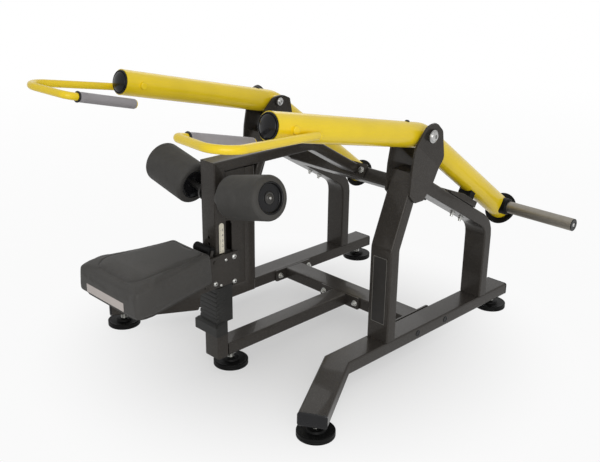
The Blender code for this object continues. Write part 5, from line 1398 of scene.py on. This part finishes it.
def upholstery_vinyl():
    """Embossed vinyl: a pebbled leather grain with soft creases, shade painted into the creases,
    and slightly polished tops.
    """
    tree, given, place = effect_group("upholstery_vinyl", ("Colour", "Low Colour"),
                                      ("Roughness", "Pebbles"))
    bend = noise(tree, place, 180.0, 2.0, result="Color")
    shifted = node(tree, "ShaderNodeVectorMath", {0: bend, 1: (0.004,) * 3, 2: place},
                   operation="MULTIPLY_ADD")
    pebbles = node(tree, "ShaderNodeTexVoronoi", {"Vector": shifted.outputs[0],
                                                  "Scale": given["Pebbles"]},
                   feature="DISTANCE_TO_EDGE")
    crease = spread(tree, pebbles.outputs["Distance"], 0.0, 0.16, curve="SMOOTHSTEP")
    drift = spread(tree, noise(tree, place, 9.0, 5.0), 0.35, 0.7, 0.0, 0.35)
    # Painted shade: the creases between the pebbles are mixed towards the darker colour, on top
    # of a random drift of tone.
    share = calc(tree, "MULTIPLY_ADD", calc(tree, "SUBTRACT", 1.0, crease), 0.55, drift)
    relief = calc(tree, "MULTIPLY_ADD", noise(tree, place, 2600.0, 3.0), 0.25, crease)
    return close_effect(tree, given, mixed(tree, share, given["Colour"], given["Low Colour"]),
                        relief, crease, 0.14, -0.03)


vinyl = finish_material(
    "dark_grey_vinyl", upholstery_vinyl(),
    {"Colour": (0.052, 0.0495, 0.046), "Low Colour": (0.036, 0.034, 0.031),
     "Roughness": 0.50, "Pebbles": 640.0}, 0.00007, Specular_IOR_Level=0.3)
cover = blown_up(cushion_shell())
low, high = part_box("seat_cushion")
low[1] += FRONT_ROOM
for vert in cover.verts:
    for axis in range(3):
        vert.co[axis] = max(low[axis] + BOX_ROOM, min(high[axis] - BOX_ROOM, vert.co[axis]))
cover = subdivided(cover)
press_seam(cover, [at(p.x, p.y, 0) for p in even_loop(crease_outline(), 60)])
cover_surface = BVHTree.FromBMesh(cover)
cushion = add_piece("seat_cushion_cover", cover, vinyl, "seat", ["seat_cushion"], 80.0)


# ---------------------------------------------------------------- Front strip of the cushion
# A pale soft plastic strip is welded onto the cushion's front face, low down. It is left bare,
# and it follows the slight curve of the cover.

STRIP_LEFT, STRIP_RIGHT = -0.1230, 0.0990
STRIP_LOW, STRIP_HIGH = 0.4172, 0.4540
STRIP_LIFT, STRIP_SUNK, STRIP_DEPTH = 0.0007, -0.0010, 0.0020
ACROSS_STEPS, UP_STEPS = 60, 8
strip_plastic = moulded_material("pale_strip", (0.520, 0.470, 0.440), (0.430, 0.385, 0.360),
                                 0.45, 0.44, 500.0, 0.00002)
shape = bmesh.new()
grid = []
for j in range(UP_STEPS + 1):
    row = []
    for i in range(ACROSS_STEPS + 1):
        x = STRIP_LEFT + (STRIP_RIGHT - STRIP_LEFT) * i / ACROSS_STEPS
        z = STRIP_LOW + (STRIP_HIGH - STRIP_LOW) * j / UP_STEPS
        hit = cover_surface.ray_cast(at(x, -0.70, z), Vector((0, 1, 0)))[0]
        inner = min(i, ACROSS_STEPS - i, j, UP_STEPS - j) > 0
        row.append(shape.verts.new(hit - Vector((0, STRIP_LIFT if inner else STRIP_SUNK, 0))))
    grid.append(row)
for low, high in zip(grid, grid[1:]):
    for i in range(ACROSS_STEPS):
        shape.faces.new((low[i], low[i + 1], high[i + 1], high[i]))
back = bmesh.ops.extrude_face_region(shape, geom=shape.faces[:])
for item in back["geom"]:
    if isinstance(item, bmesh.types.BMVert):
        item.co.y += STRIP_DEPTH
bmesh.ops.recalc_face_normals(shape, faces=shape.faces)
add_piece("cushion_strip", shape, strip_plastic, "seat", sharp=40.0)
